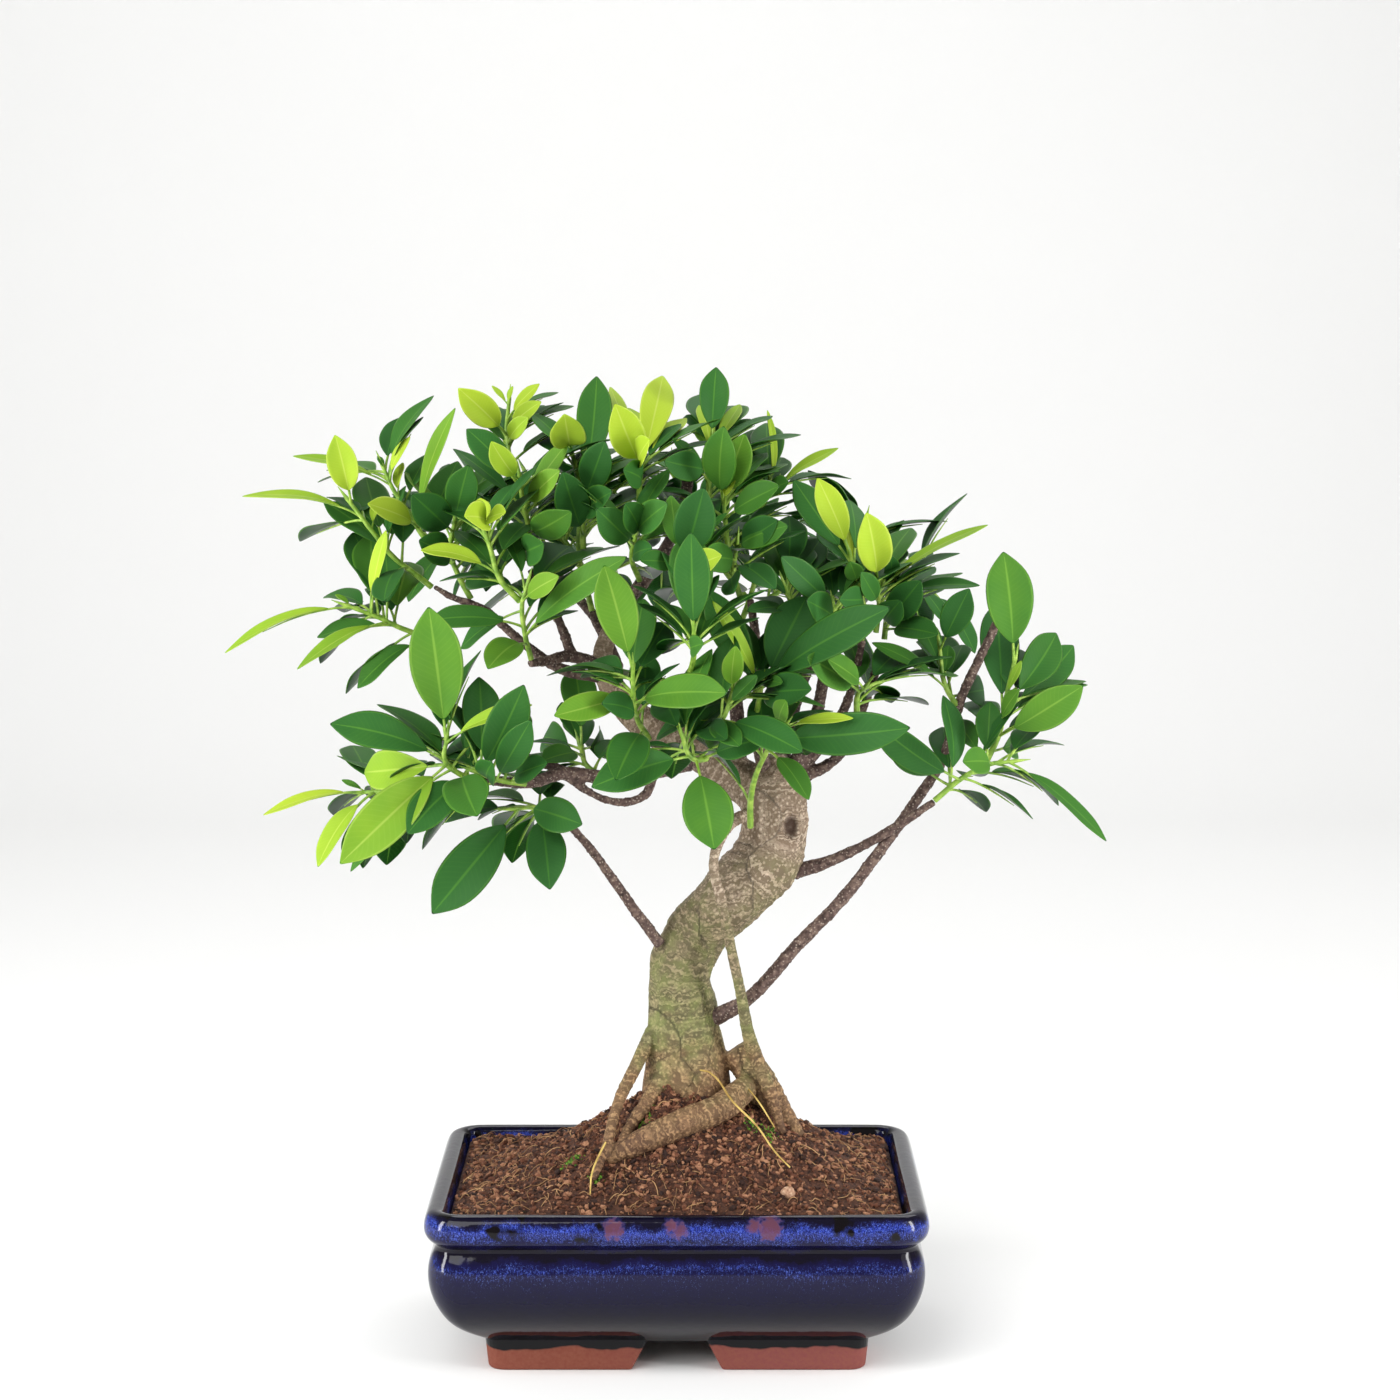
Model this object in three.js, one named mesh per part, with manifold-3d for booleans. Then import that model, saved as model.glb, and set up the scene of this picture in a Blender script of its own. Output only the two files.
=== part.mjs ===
// A ficus bonsai in a glazed pot, in millimetres with +Z up.
// The table is at z = 0. The plant is laid out round the middle of the pot, and the last
// lines slide it so that the origin is under the middle of the whole plant.

import * as THREE from 'three';
import { mergeVertices } from 'three/addons/utils/BufferGeometryUtils.js';
import Module from 'manifold-3d';

const wasm = await Module();
wasm.setup();

// ---------------------------------------------------------------------------
// Driving dimensions

const POT_HALF_LENGTH = 102;
const POT_HALF_DEPTH = 75;
const POT_CORNER = 16;
const CORNER_STEPS = 3;
const POT_UNDERSIDE = 9;
const FLOOR_TOP = 16;
const FLOOR_INSET = 30;

const FOOT_RING_TOP = 12.5;
const FOOT_RING_INSET = 24;
const FOOT_WALL = 13;
const FOOT_TOP_GAP = 22;
const FOOT_BOTTOM_GAP = 37;
const SIDE_GAP = 30;

const DRAIN_RADIUS = 7;
const DRAIN_X = 50;
const SCREEN_SIZE = 24;
const SCREEN_THICK = 1.2;
const SCREEN_HOLE = 3.4;
const SCREEN_PITCH = 6;
const SCREEN_HOLES = 3;

const SOIL_EDGE = 68;
const MOUND_HEIGHT = 37;
const MOUND_X = 8;
const MOUND_HALF_LENGTH = 62;
const MOUND_HALF_DEPTH = 46;

const GAP = 0.35;
// Slivers thinner than this, left where limbs meet, are melted away.
const SLIVER = 0.005;
const LEAF_THICK = 0.55;
const PETIOLE_HALF = 0.6;
const GOLDEN_ANGLE = (137.5 * Math.PI) / 180;

// ---------------------------------------------------------------------------
// Finishes

function finish(colour, roughness) {
  return new THREE.MeshStandardMaterial({ color: colour, roughness, metalness: 0 });
}

const glaze = finish(0x10163a, 0.12);
const peat = finish(0x5a3522, 0.95);
const plasticMesh = finish(0x22262a, 0.6);
const stone = finish(0xa98a6e, 0.8);
const bark = finish(0x8a8060, 0.85);
const twigBark = finish(0x5d4332, 0.85);
const matureLeaf = finish(0x2c6b22, 0.35);

// ---------------------------------------------------------------------------
// Solids: a closed geometry goes to the boolean library and comes back

function solid(geometry) {
  const bare = geometry.clone();
  bare.deleteAttribute('normal');
  bare.deleteAttribute('uv');
  const merged = mergeVertices(bare, 1e-4);
  return new wasm.Manifold(new wasm.Mesh({
    numProp: 3,
    vertProperties: new Float32Array(merged.attributes.position.array),
    triVerts: new Uint32Array(merged.index.array),
  }));
}

function joined(solids) {
  return solids.reduce((whole, piece) => whole.add(piece));
}

// The biggest piece of a solid: cuts can leave crumbs of a leaf behind.
function biggest(whole) {
  const pieces = whole.decompose();
  return pieces.reduce((best, piece) => (piece.volume() > best.volume() ? piece : best));
}

function geometryOf(whole) {
  const mesh = whole.getMesh();
  const corners = [];
  for (let i = 0; i < mesh.vertProperties.length; i += mesh.numProp) {
    corners.push(...mesh.vertProperties.slice(i, i + 3));
  }
  const geometry = new THREE.BufferGeometry();
  geometry.setAttribute('position', new THREE.Float32BufferAttribute(corners, 3));
  geometry.setIndex([...mesh.triVerts]);
  return geometry;
}

// ---------------------------------------------------------------------------
// Shapes that grow along a line

// Each ring of a unit cylinder is moved to its place: place(x, share, z) gives the new point.
function reshapedCylinder(sides, steps, place, firstCorner = 0) {
  const geometry = new THREE.CylinderGeometry(1, 1, 1, sides, steps, false, firstCorner);
  const position = geometry.attributes.position;
  for (let i = 0; i < position.count; i += 1) {
    const share = position.getY(i) + 0.5;
    const moved = place(position.getX(i), share, position.getZ(i));
    position.setXYZ(i, moved.x, moved.y, moved.z);
  }
  return geometry;
}

// A round limb through points [x, y, z, radius]; grow makes a fatter copy of it.
function limb(points, sides, steps, grow = 0) {
  const curve = new THREE.CatmullRomCurve3(points.map(([x, y, z]) => new THREE.Vector3(x, y, z)));
  const frames = curve.computeFrenetFrames(steps);
  return solid(reshapedCylinder(sides, steps, (x, share, z) => {
    const step = Math.round(share * steps);
    const along = curve.getUtoTmapping(share) * (points.length - 1);
    const before = Math.min(Math.floor(along), points.length - 2);
    const radius = THREE.MathUtils.lerp(points[before][3], points[before + 1][3], along - before) + grow;
    return curve.getPointAt(share)
      .addScaledVector(frames.normals[step], x * radius)
      .addScaledVector(frames.binormals[step], -z * radius);
  }));
}

// Half widths of a leaf blade as shares of its widest half width, from stalk to tip.
const BLADE_SHARES = [0.07, 1, 0.05];
const BLADE_STEPS = BLADE_SHARES.length - 1;
const BLADE_BOW = 0.07;

// A function that carries a leaf's own coordinates to its place: share of the length,
// distance to the side in half widths, and height over the blade.
function bladePlace({ base, tip, width, face }, grow) {
  const run = new THREE.Vector3().subVectors(tip, base);
  const length = run.length();
  const along = run.clone().normalize();
  const side = new THREE.Vector3().crossVectors(face, along).normalize();
  return (x, share, height) => {
    const half = Math.max((BLADE_SHARES[Math.round(share * BLADE_STEPS)] * width) / 2, PETIOLE_HALF);
    const bow = BLADE_BOW * length * 4 * share * (1 - share);
    return base.clone()
      .addScaledVector(along, share * length + (2 * share - 1) * grow)
      .addScaledVector(side, x * (half + grow))
      .addScaledVector(face, bow + height);
  };
}

// A leaf is a long three-sided body: a flat upper face and a midrib ridge below it.
function leaf(one) {
  const place = bladePlace(one, 0);
  return solid(reshapedCylinder(3, BLADE_STEPS, (x, share, z) => place(x, share, -z * LEAF_THICK)));
}

// The room that a leaf keeps clear: a flat four-sided body a gap bigger all round.
function leafRoom(one) {
  const place = bladePlace(one, GAP);
  const toCorner = Math.SQRT2;
  const thick = LEAF_THICK + GAP;
  return solid(reshapedCylinder(
    4,
    BLADE_STEPS,
    (x, share, z) => place(x * toCorner, share, -z * toCorner * thick),
    Math.PI / 4,
  ));
}

// The direction in which a leaf's upper face looks. A roll of 0 faces the front of the
// plant, and 90 faces up.
function leafFace(base, tip, roll) {
  const along = new THREE.Vector3().subVectors(tip, base).normalize();
  const front = new THREE.Vector3(0, -1, 0);
  front.addScaledVector(along, -front.dot(along)).normalize();
  const side = new THREE.Vector3().crossVectors(along, front);
  if (side.z < 0) {
    side.negate();
  }
  const angle = THREE.MathUtils.degToRad(roll);
  return front.multiplyScalar(Math.cos(angle)).addScaledVector(side, Math.sin(angle));
}

function pointOn(path, share) {
  const along = share * (path.length - 1);
  const before = Math.min(Math.floor(along), path.length - 2);
  const [from, to] = [path[before], path[before + 1]].map(([x, y, z]) => new THREE.Vector3(x, y, z));
  return from.lerp(to, along - before);
}

// A fixed pattern of shares between 0 and 1, so that every build grows the same leaves.
function chance(number) {
  const wave = Math.sin(number * 12.9898) * 43758.5453;
  return wave - Math.floor(wave);
}

// Leaves that follow the rule of growth: each a golden angle round the stem from the last.
const RULED_TRIES = 12;
const BARE_FOOT = 0.15;
const RULED_SHORTEST = 32;
const RULED_SPREAD = 13;
const RULED_WIDTH_SHARE = 0.42;

function ruledLeaves(path, seed, turnBack) {
  const stemRun = pointOn(path, 1).sub(pointOn(path, 0)).normalize();
  const across = new THREE.Vector3().crossVectors(stemRun, new THREE.Vector3(0, 0.3, 1)).normalize();
  const beside = new THREE.Vector3().crossVectors(stemRun, across);
  const leaves = [];
  for (let i = 0; i < RULED_TRIES; i += 1) {
    const turn = GOLDEN_ANGLE * i + 2 * Math.PI * chance(seed);
    const base = pointOn(path, BARE_FOOT + (1 - BARE_FOOT) * chance(seed * 7 + i));
    const run = stemRun.clone().multiplyScalar(0.5)
      .addScaledVector(across, Math.cos(turn))
      .addScaledVector(beside, Math.sin(turn));
    if (turnBack) {
      run.y = Math.abs(run.y);
    }
    run.normalize();
    const length = RULED_SHORTEST + RULED_SPREAD * chance(seed + i + 0.5);
    const tip = base.clone().addScaledVector(run, length);
    const face = new THREE.Vector3(0, 0, 1);
    face.addScaledVector(run, -face.dot(run)).normalize();
    leaves.push({ base, tip, face, width: RULED_WIDTH_SHARE * length });
  }
  return leaves;
}

function statedLeaves(path, rows) {
  return rows.map(([share, x, y, z, width, roll]) => {
    const base = pointOn(path, share / 100);
    const tip = new THREE.Vector3(x, y, z);
    return { base, tip, width, face: leafFace(base, tip, roll) };
  });
}

// ---------------------------------------------------------------------------
// Wood: every limb is a list of points [x, y, z, radius]

const TRUNK = [
  [5, 0, 84, 22], [4, 0, 117, 19], [2, 0, 140, 14.5], [1, 0, 153, 13.2], [5, 0, 166, 13.5],
  [15, 0, 179, 13.8], [27, 0, 191, 14.6], [36, 0, 201, 15], [40, 2, 213, 14.6],
  [40, 2, 227, 14.4], [40, 2, 237, 12.5], [39, 2, 242, 8], [39, 2, 244, 3],
];
const MAIN_LIMB = [
  [38, 4, 226, 10], [24, 6, 236, 9], [9, 8, 246, 8.2], [-6, 10, 253, 7.4],
  [-19, 12, 262, 6.4], [-28, 14, 274, 5.4], [-31, 16, 285, 4.4], [-29, 18, 295, 3.4],
];
const ROOTS = [
  [[-10, -6, 131, 3.4], [-18, -14, 116, 2.8], [-24, -22, 105, 2.4], [-29, -36, 89, 2], [-33, -44, 80, 1.4]],
  [[29, -12, 109, 6], [18, -24, 103, 6.4], [2, -31, 98, 6], [-13, -34, 92, 5.4], [-27, -34, 85, 3.5]],
  [[24, -4, 123, 7], [34, -6, 109, 8], [42, -8, 98, 6], [50, -10, 88, 3]],
];
const PROP_ROOT = [
  [34, -2, 221, 3], [25, -10, 221, 2.6], [18, -16, 214, 2.3], [15, -18, 203, 2.3], [18, -19, 189, 2.4],
  [22, -19, 169, 2.3], [26, -17, 150, 2.5], [29, -14, 133, 2.9], [33, -10, 117, 3.6], [34, -8, 103, 4],
];

const BRANCHES = {
  branch_left_low: [
    [[-7, -8, 168, 2.6], [-15, -10, 179, 2.2], [-27, -13, 197, 2], [-36, -16, 210, 1.8], [-45, -19, 221, 1.6]],
  ],
  branch_left_mid: [
    [[5, 0, 243, 4], [-10, -6, 240, 3.4], [-29, -12, 238, 3], [-45, -18, 241, 2.8], [-59, -30, 239, 2.4],
      [-77, -37, 241, 2]],
    [[-10, -7, 239, 2.4], [-13, -10, 231, 1.9], [-21, -12, 228, 1.7], [-31, -14, 230, 1.6], [-44, -18, 239, 2]],
    [[-45, -17, 241, 2.4], [-62, -14, 247, 1.8], [-76, -12, 250, 1.5]],
  ],
  branch_left_inner: [
    [[-30, 8, 281, 3], [-44, -2, 287, 2.5], [-54, -12, 286, 2.1], [-58, -17, 286, 1.8]],
    [[-43, -1, 287, 2.4], [-50, -2, 305, 1.8], [-59, -4, 321, 1.5]],
  ],
  branch_left_far: [
    [[-30, 14, 276, 2.6], [-48, 6, 281, 2.4], [-65, 4, 293, 2], [-80, 4, 306, 1.7], [-93, 4, 311, 1.4],
      [-98, 4, 314, 1.2]],
  ],
  branch_top: [
    [[-29, 17, 293, 3.2], [-24, 22, 303, 3], [-12, 26, 318, 2.8], [1, 16, 342, 2.5], [4, 10, 354, 2.4],
      [4, 8, 371, 2.2]],
    [[-24, 21, 303, 2.6], [-20, 2, 307, 2.2], [-16, -13, 316, 1.7]],
  ],
  branch_centre: [
    [[36, -2, 240, 3.4], [33, -14, 256, 2.6], [33, -12, 274, 2.2], [32, -14, 295, 2], [30, -20, 310, 1.6]],
  ],
  branch_right_fan: [
    [[44, 0, 236, 4], [53, -2, 250, 3], [58, -6, 267, 2.6], [61, -10, 284, 2.2], [65, -14, 293, 1.8]],
    [[46, 1, 236, 3.4], [58, 0, 248, 2.4], [69, -6, 267, 2], [74, -12, 287, 1.7], [75, -14, 293, 1.5]],
    [[46, 0, 235, 3.4], [64, 0, 243, 2.3], [71, 0, 253, 2], [79, 0, 272, 1.8], [84, -2, 290, 1.6]],
  ],
  branch_right_low: [
    [[48, -1, 197, 3.6], [63, -4, 202, 2.4], [76, -8, 209, 2.1], [91, -14, 219, 1.9], [103, -19, 228, 1.6]],
  ],
  branch_right_long: [
    [[14, -3, 135, 4], [29, -9, 145, 2.8], [49, -9, 167, 2.7], [68, -9, 187, 2.6], [84, -9, 208, 2.4],
      [98, -9, 228, 2.3], [109, -10, 246, 2.2], [115, -11, 268, 2.1], [120, -11, 280, 2], [130, -11, 301, 1.8]],
  ],
  branch_back_left: [
    [[-25, 16, 280, 3], [-34, 32, 298, 2.4], [-44, 48, 308, 2], [-51, 57, 315, 1.6]],
  ],
  branch_back_middle: [
    [[26, 8, 238, 3.4], [22, 30, 282, 2.6], [12, 50, 302, 2.1], [5, 62, 316, 1.6]],
  ],
  branch_back_right: [
    [[42, 8, 236, 3.4], [52, 22, 272, 2.4], [62, 38, 290, 2], [69, 48, 300, 1.6]],
  ],
};

// ---------------------------------------------------------------------------
// Shoots: a green stem with leaves. A stated leaf is [place on the stem in hundredths,
// tip x, y, z, width, roll]. More leaves follow the rule of growth where there is room.

const SHOOTS = [
  {
    name: 'shoot_left_hero',
    stem: [[-80, -38, 241], [-87, -45, 245], [-92, -50, 251], [-91, -52, 259]],
    stated: [
      [100, -97, -58, 313, 22, 5], [96, -56, -66, 275, 9, 55], [62, -136, -62, 267, 17, 40],
      [58, -131, -78, 214, 20, 15], [25, -76, -92, 235, 19, 30], [55, -128, -10, 240, 17, 20],
      [10, -105, -74, 225, 17, 25], [45, -131, -40, 204, 14, 50],
    ],
  },
  {
    name: 'shoot_left_tail',
    stem: [[-83, -14, 235], [-105, -10, 233], [-128, -5, 231]],
    stated: [
      [100, -170, -10, 222, 9, 68], [92, -146, -24, 203, 13, 50], [100, -138, -5, 236, 3, 40],
      [40, -116, 24, 238, 14, 60], [60, -95, -47, 228, 15, 55],
    ],
  },
  {
    name: 'shoot_left_far',
    stem: [[-92, -4, 292], [-112, -8, 299], [-122, -10, 304], [-132, -12, 308]],
    stated: [
      [100, -183, -20, 290, 9, 66], [100, -139, -10, 313, 3, 50], [74, -117, -18, 340, 8, 40],
      [45, -113, 30, 323, 18, 10], [70, -146, 14, 310, 13, 62], [42, -146, -16, 296, 13, 62],
      [52, -152, -34, 285, 10, 62], [15, -130, -14, 275, 14, 55],
    ],
  },
  {
    name: 'shoot_left_top',
    stem: [[-92, 2, 325], [-103, 0, 335], [-109, -1, 345], [-116, -2, 356], [-119, -2, 363]],
    stated: [
      [78, -156, -6, 369, 7, 66], [84, -108, -6, 377, 6, 45], [66, -112, 4, 366, 6, 40],
      [36, -124, -25, 351, 12, 45], [100, -122, -2, 369, 3, 40], [32, -89, -12, 389, 10, 52],
    ],
  },
  {
    name: 'shoot_left_fan',
    stem: [[-101, 4, 315], [-109, 0, 322], [-116, -3, 328], [-124, -8, 339], [-132, -10, 350]],
    stated: [
      [100, -136, -30, 379, 13, 0], [88, -176, -12, 353, 8, 68], [40, -145, 4, 350, 13, 45],
      [30, -116, -40, 313, 15, 48], [75, -122, 6, 351, 5, 30],
    ],
  },
  {
    name: 'shoot_left_inner',
    stem: [[-85, 6, 310], [-90, 4, 320], [-93, 0, 331], [-91, -2, 341]],
    stated: [
      [90, -105, -39, 356, 16, 12], [100, -83, -29, 367, 14, 0], [88, -95, 30, 364, 15, 20],
      [80, -112, 6, 362, 8, 60], [50, -103, -33, 337, 14, 40], [60, -73, 20, 360, 13, 20],
    ],
  },
  {
    name: 'shoot_left_bud',
    stem: [[-63, -27, 312], [-71, -31, 322], [-74, -33, 333], [-77, -35, 342]],
    stated: [
      [100, -78, -34, 354, 8, 10], [100, -82, -70, 349, 13, 70], [100, -66, -62, 350, 10, 70],
      [36, -102, -34, 333, 10, 52], [10, -84, 11, 324, 21, 5], [30, -90, -10, 339, 11, 50],
    ],
  },
  {
    name: 'shoot_left_cut',
    stem: [[-59, -20, 288], [-61, -25, 298], [-62, -28, 311], [-60, -30, 318]],
    stated: [
      [32, -19, -52, 332, 15, 42], [72, -46, -48, 324, 10, 25], [80, -44, 9, 331, 19, 15],
      [42, -99, -36, 305, 13, 45], [20, -74, -58, 288, 14, 45], [88, -73, -10, 344, 10, 40],
      [60, -88, -10, 291, 11, 50],
    ],
  },
  {
    name: 'shoot_left_lower',
    stem: [[-48, -20, 225], [-58, -25, 228], [-64, -28, 228]],
    stated: [
      [100, -98, -46, 188, 21, 10], [40, -50, -58, 200, 17, 8], [80, -37, -56, 226, 15, 20],
      [100, -98, -6, 221, 15, 62],
    ],
  },
  {
    name: 'shoot_left_mid',
    stem: [[-61, -34, 239], [-71, -44, 242], [-79, -50, 246]],
    stated: [
      [100, -59, -72, 284, 17, -15], [55, -56, -78, 271, 13, 0], [70, -92, -8, 252, 16, 15],
      [60, -71, -76, 254, 12, 40], [25, -50, -66, 252, 12, 50],
    ],
  },
  {
    name: 'shoot_left_under',
    stem: [[-32, 2, 237], [-38, 6, 241], [-40, 8, 247]],
    stated: [
      [100, -57, 45, 247, 15, 30], [80, -55, -21, 246, 12, 60], [100, -32, 48, 246, 15, 20],
      [60, -44, 41, 257, 14, 20],
    ],
  },
  {
    name: 'shoot_mid_left',
    stem: [[-11, -38, 258], [-16, -50, 269], [-17, -55, 280], [-17, -58, 287]],
    stated: [
      [100, -28, -66, 330, 17, 0], [58, -47, -84, 273, 13, 35], [72, -4, -24, 303, 15, 15],
      [60, -34, -21, 287, 14, 25], [48, 20, -92, 283, 17, 45], [12, -23, -92, 249, 17, 20],
      [30, -29, -77, 277, 12, 45],
    ],
  },
  {
    name: 'shoot_mid_low',
    stem: [[12, -46, 251], [7, -54, 252], [4, -58, 256], [3, -60, 260]],
    stated: [
      [28, 15, -80, 220, 21, 10], [44, -33, -76, 244, 17, 28], [100, -6, -20, 274, 16, 0],
      [8, 37, -70, 263, 14, 35],
    ],
  },
  {
    name: 'shoot_mid_twig',
    stem: [[9, -30, 260], [11, -44, 265], [18, -58, 268], [22, -54, 279]],
    stated: [
      [66, 49, -92, 260, 15, 38], [40, 25, -84, 261, 11, 45], [13, 20, -80, 263, 12, 60],
      [53, -8, -31, 257, 12, 60], [100, 23, -78, 300, 9, 0], [86, 9, -20, 284, 13, 40],
      [80, 32, -60, 286, 8, 40],
    ],
  },
  {
    name: 'shoot_front',
    stem: [[30, -14, 218], [30, -20, 230], [32, -30, 242], [36, -42, 253], [38, -48, 258], [42, -54, 264]],
    stated: [
      [64, 52, -64, 237, 12, 45], [100, 69, -76, 271, 6, 55], [84, 91, -80, 268, 18, 18],
      [92, 63, -32, 268, 9, 75], [100, 43, -81, 279, 9, 50],
    ],
  },
  {
    name: 'shoot_mid_big',
    stem: [[32, -26, 265], [33, -34, 273], [34, -38, 279]],
    stated: [
      [100, 84, -62, 313, 19, 38], [92, 52, -34, 315, 20, 8], [100, 42, -62, 283, 6, 55],
      [80, 14, -56, 315, 8, 45], [70, 12, -36, 318, 15, 10], [60, 53, -73, 282, 16, 40],
    ],
  },
  {
    name: 'shoot_mid_hero',
    stem: [[5, -46, 284], [7, -60, 294], [7, -66, 301]],
    stated: [
      [100, 6, -82, 344, 15, 0], [60, -8, -34, 312, 13, 50], [50, 0, -34, 308, 9, 20],
      [70, 11, -92, 302, 9, 50], [40, 14, -26, 312, 14, 20],
    ],
  },
  {
    name: 'shoot_mid_top',
    stem: [[-15, -20, 320], [-18, -30, 330], [-16, -36, 339]],
    stated: [
      [80, -31, -65, 352, 14, 8], [100, -3, -65, 354, 13, 35], [100, -20, -65, 354, 12, 40],
      [60, 7, -58, 351, 8, 48], [40, -9, -60, 336, 9, 50],
    ],
  },
  {
    name: 'shoot_mid_white',
    stem: [[4, -34, 313], [3, -44, 324], [2, -50, 331]],
    stated: [
      [100, -2, -62, 357, 10, -12], [90, 11, -78, 361, 17, 0], [70, -14, -71, 332, 10, 50],
      [60, 18, -70, 334, 11, 20],
    ],
  },
  {
    name: 'shoot_sprig_left',
    stem: [[-68, 6, 359], [-69, 8, 369], [-70, 10, 379], [-69, 9, 389]],
    stated: [
      [60, -88, -13, 397, 13, 0], [82, -56, 6, 398, 6, 30], [62, -55, 0, 391, 8, 30],
      [48, -60, -6, 385, 8, 20], [100, -76, 10, 397, 3, 40], [100, -67, 8, 397, 3, 40],
    ],
  },
  {
    name: 'shoot_top_left',
    stem: [[-61, -6, 327], [-60, -11, 340], [-62, -15, 350], [-63, -19, 360]],
    stated: [
      [88, -84, -24, 381, 13, 18], [100, -73, -42, 377, 10, 0], [60, -91, -6, 372, 10, 55],
      [62, -46, -34, 365, 11, 30], [66, -43, -20, 376, 9, 30], [30, -41, -50, 350, 14, -12],
      [10, -52, -46, 337, 14, 20], [44, -76, 18, 355, 13, 40],
    ],
  },
  {
    name: 'shoot_top_curl',
    stem: [[-39, -3, 355], [-41, -5, 364], [-43, -8, 373]],
    stated: [
      [100, -44, -46, 388, 15, 5], [70, -60, 6, 386, 10, 45], [50, -55, 28, 378, 14, 20],
      [60, -33, 28, 373, 13, 10],
    ],
  },
  {
    name: 'shoot_top_olive',
    stem: [[-38, -12, 332], [-38, -13, 346], [-37, -13, 364]],
    stated: [
      [20, -45, -41, 365, 15, 15], [62, -28, -38, 377, 14, 10], [75, -33, 12, 401, 15, 0],
      [50, -56, 20, 350, 14, 20], [40, -25, -43, 357, 13, 40], [90, -42, 20, 381, 9, 40],
    ],
  },
  {
    name: 'shoot_top_yellow',
    stem: [[-15, -14, 347], [-15, -18, 357], [-14, -21, 366]],
    stated: [
      [100, -24, -51, 392, 15, 5], [100, -10, -52, 378, 12, 60], [88, -6, 16, 401, 14, 0],
      [92, 4, 4, 384, 9, 38], [96, -20, 10, 388, 10, 30], [60, -21, -50, 366, 12, 40],
      [90, -3, 26, 392, 4, 30], [80, -28, 30, 396, 7, 20],
    ],
  },
  {
    name: 'shoot_top_dark',
    stem: [[13, -6, 343], [13, -6, 355], [13, -6, 366], [14, -4, 372]],
    stated: [
      [100, 16, 0, 405, 13, -8], [40, -2, -18, 377, 8, 50], [85, 8, 6, 379, 5, 30],
      [72, 9, 14, 389, 8, 30], [60, -5, -36, 369, 13, 10], [50, 7, 26, 362, 12, 30],
      [90, 26, 22, 389, 7, 30],
    ],
  },
  {
    name: 'shoot_top_fan',
    stem: [[21, -12, 327], [20, -14, 340], [19, -17, 351]],
    stated: [
      [100, 19, -43, 383, 15, -20], [96, 27, -39, 380, 14, 0], [70, 41, -40, 359, 13, 38],
      [100, 24, -30, 366, 5, 20], [60, 12, 16, 350, 12, 20],
    ],
  },
  {
    name: 'shoot_top_right',
    stem: [[29, -4, 335], [34, -2, 347], [38, 0, 354]],
    stated: [
      [100, 37, 31, 381, 15, 0], [100, 66, 0, 372, 8, 62], [90, 37, 14, 387, 5, 45],
      [100, 45, -29, 360, 9, 50], [60, 24, 20, 375, 12, 20],
    ],
  },
  {
    name: 'shoot_right_stack',
    stem: [[26, -24, 312], [23, -27, 324], [24, -30, 334]],
    stated: [
      [100, 40, -59, 347, 13, 25], [90, 44, -62, 345, 12, 32], [60, 39, -64, 320, 12, 52],
      [70, 9, -61, 332, 13, 20], [40, 23, -66, 319, 11, 60],
    ],
  },
  {
    name: 'shoot_right_mid',
    stem: [[46, -22, 296], [47, -23, 307], [44, -25, 316]],
    stated: [
      [100, 46, 5, 344, 15, 0], [80, 59, 2, 335, 14, 15], [90, 46, 2, 330, 10, -15],
      [70, 28, -44, 328, 9, 55], [50, 28, -50, 310, 9, 65], [60, 62, 6, 321, 13, 30],
    ],
  },
  {
    name: 'shoot_right_lean',
    stem: [[65, -16, 295], [64, -22, 305], [63, -26, 310]],
    stated: [
      [100, 41, -50, 332, 12, 15], [60, 61, -1, 330, 12, 15], [80, 75, -6, 327, 11, 20],
      [40, 51, -55, 315, 14, 40],
    ],
  },
  {
    name: 'shoot_right_top',
    stem: [[75, -14, 295], [76, -18, 307], [73, -21, 318], [70, -24, 329]],
    stated: [
      [92, 47, -14, 360, 13, 15], [100, 56, -34, 362, 12, 8], [70, 69, -36, 329, 8, 5],
      [88, 71, 12, 350, 12, 30], [80, 68, 14, 345, 9, 20], [50, 64, -51, 315, 12, 20],
    ],
  },
  {
    name: 'shoot_right_yellow',
    stem: [[81, -12, 298], [82, -14, 308], [81, -17, 318]],
    stated: [
      [100, 75, -43, 349, 15, 8], [86, 127, -4, 341, 8, 64], [60, 73, -40, 325, 9, 20],
      [100, 94, 16, 325, 9, 50],
    ],
  },
  {
    name: 'shoot_right_tall',
    stem: [[85, -2, 294], [86, -2, 306], [87, -2, 319]],
    stated: [
      [60, 123, -14, 317, 9, 64], [64, 107, 14, 322, 11, 55], [20, 98, -30, 321, 14, 10],
      [80, 86, -20, 330, 8, 20], [16, 105, -32, 299, 13, 50], [30, 90, -30, 313, 12, 20],
    ],
  },
  {
    name: 'shoot_right_inner',
    stem: [[73, -20, 266], [73, -26, 274], [75, -30, 277]],
    stated: [
      [70, 51, -57, 293, 15, 30], [100, 59, -54, 292, 12, 52], [40, 71, 8, 292, 14, 30],
      [90, 92, 3, 289, 14, 30],
    ],
  },
  {
    name: 'shoot_right_cross',
    stem: [[114, -12, 268], [109, -13, 277], [107, -13, 291]],
    stated: [
      [100, 117, -34, 318, 13, 8], [55, 111, -6, 292, 7, 10], [30, 79, -16, 294, 9, 55],
      [20, 128, 22, 270, 14, 20], [60, 99, 6, 302, 12, 30],
    ],
  },
  {
    name: 'shoot_right_hero',
    stem: [[126, -16, 245], [131, -20, 258], [133, -22, 271], [136, -24, 286]],
    stated: [
      [100, 131, -26, 332, 20, 0], [60, 156, 3, 296, 16, 5], [56, 164, 10, 290, 14, 0],
      [28, 163, -34, 279, 17, -12], [50, 132, 14, 307, 17, 5], [42, 137, -40, 278, 8, 60],
      [12, 141, 19, 250, 14, 5], [70, 139, -26, 288, 4, 30],
    ],
  },
  {
    name: 'shoot_right_end',
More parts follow.
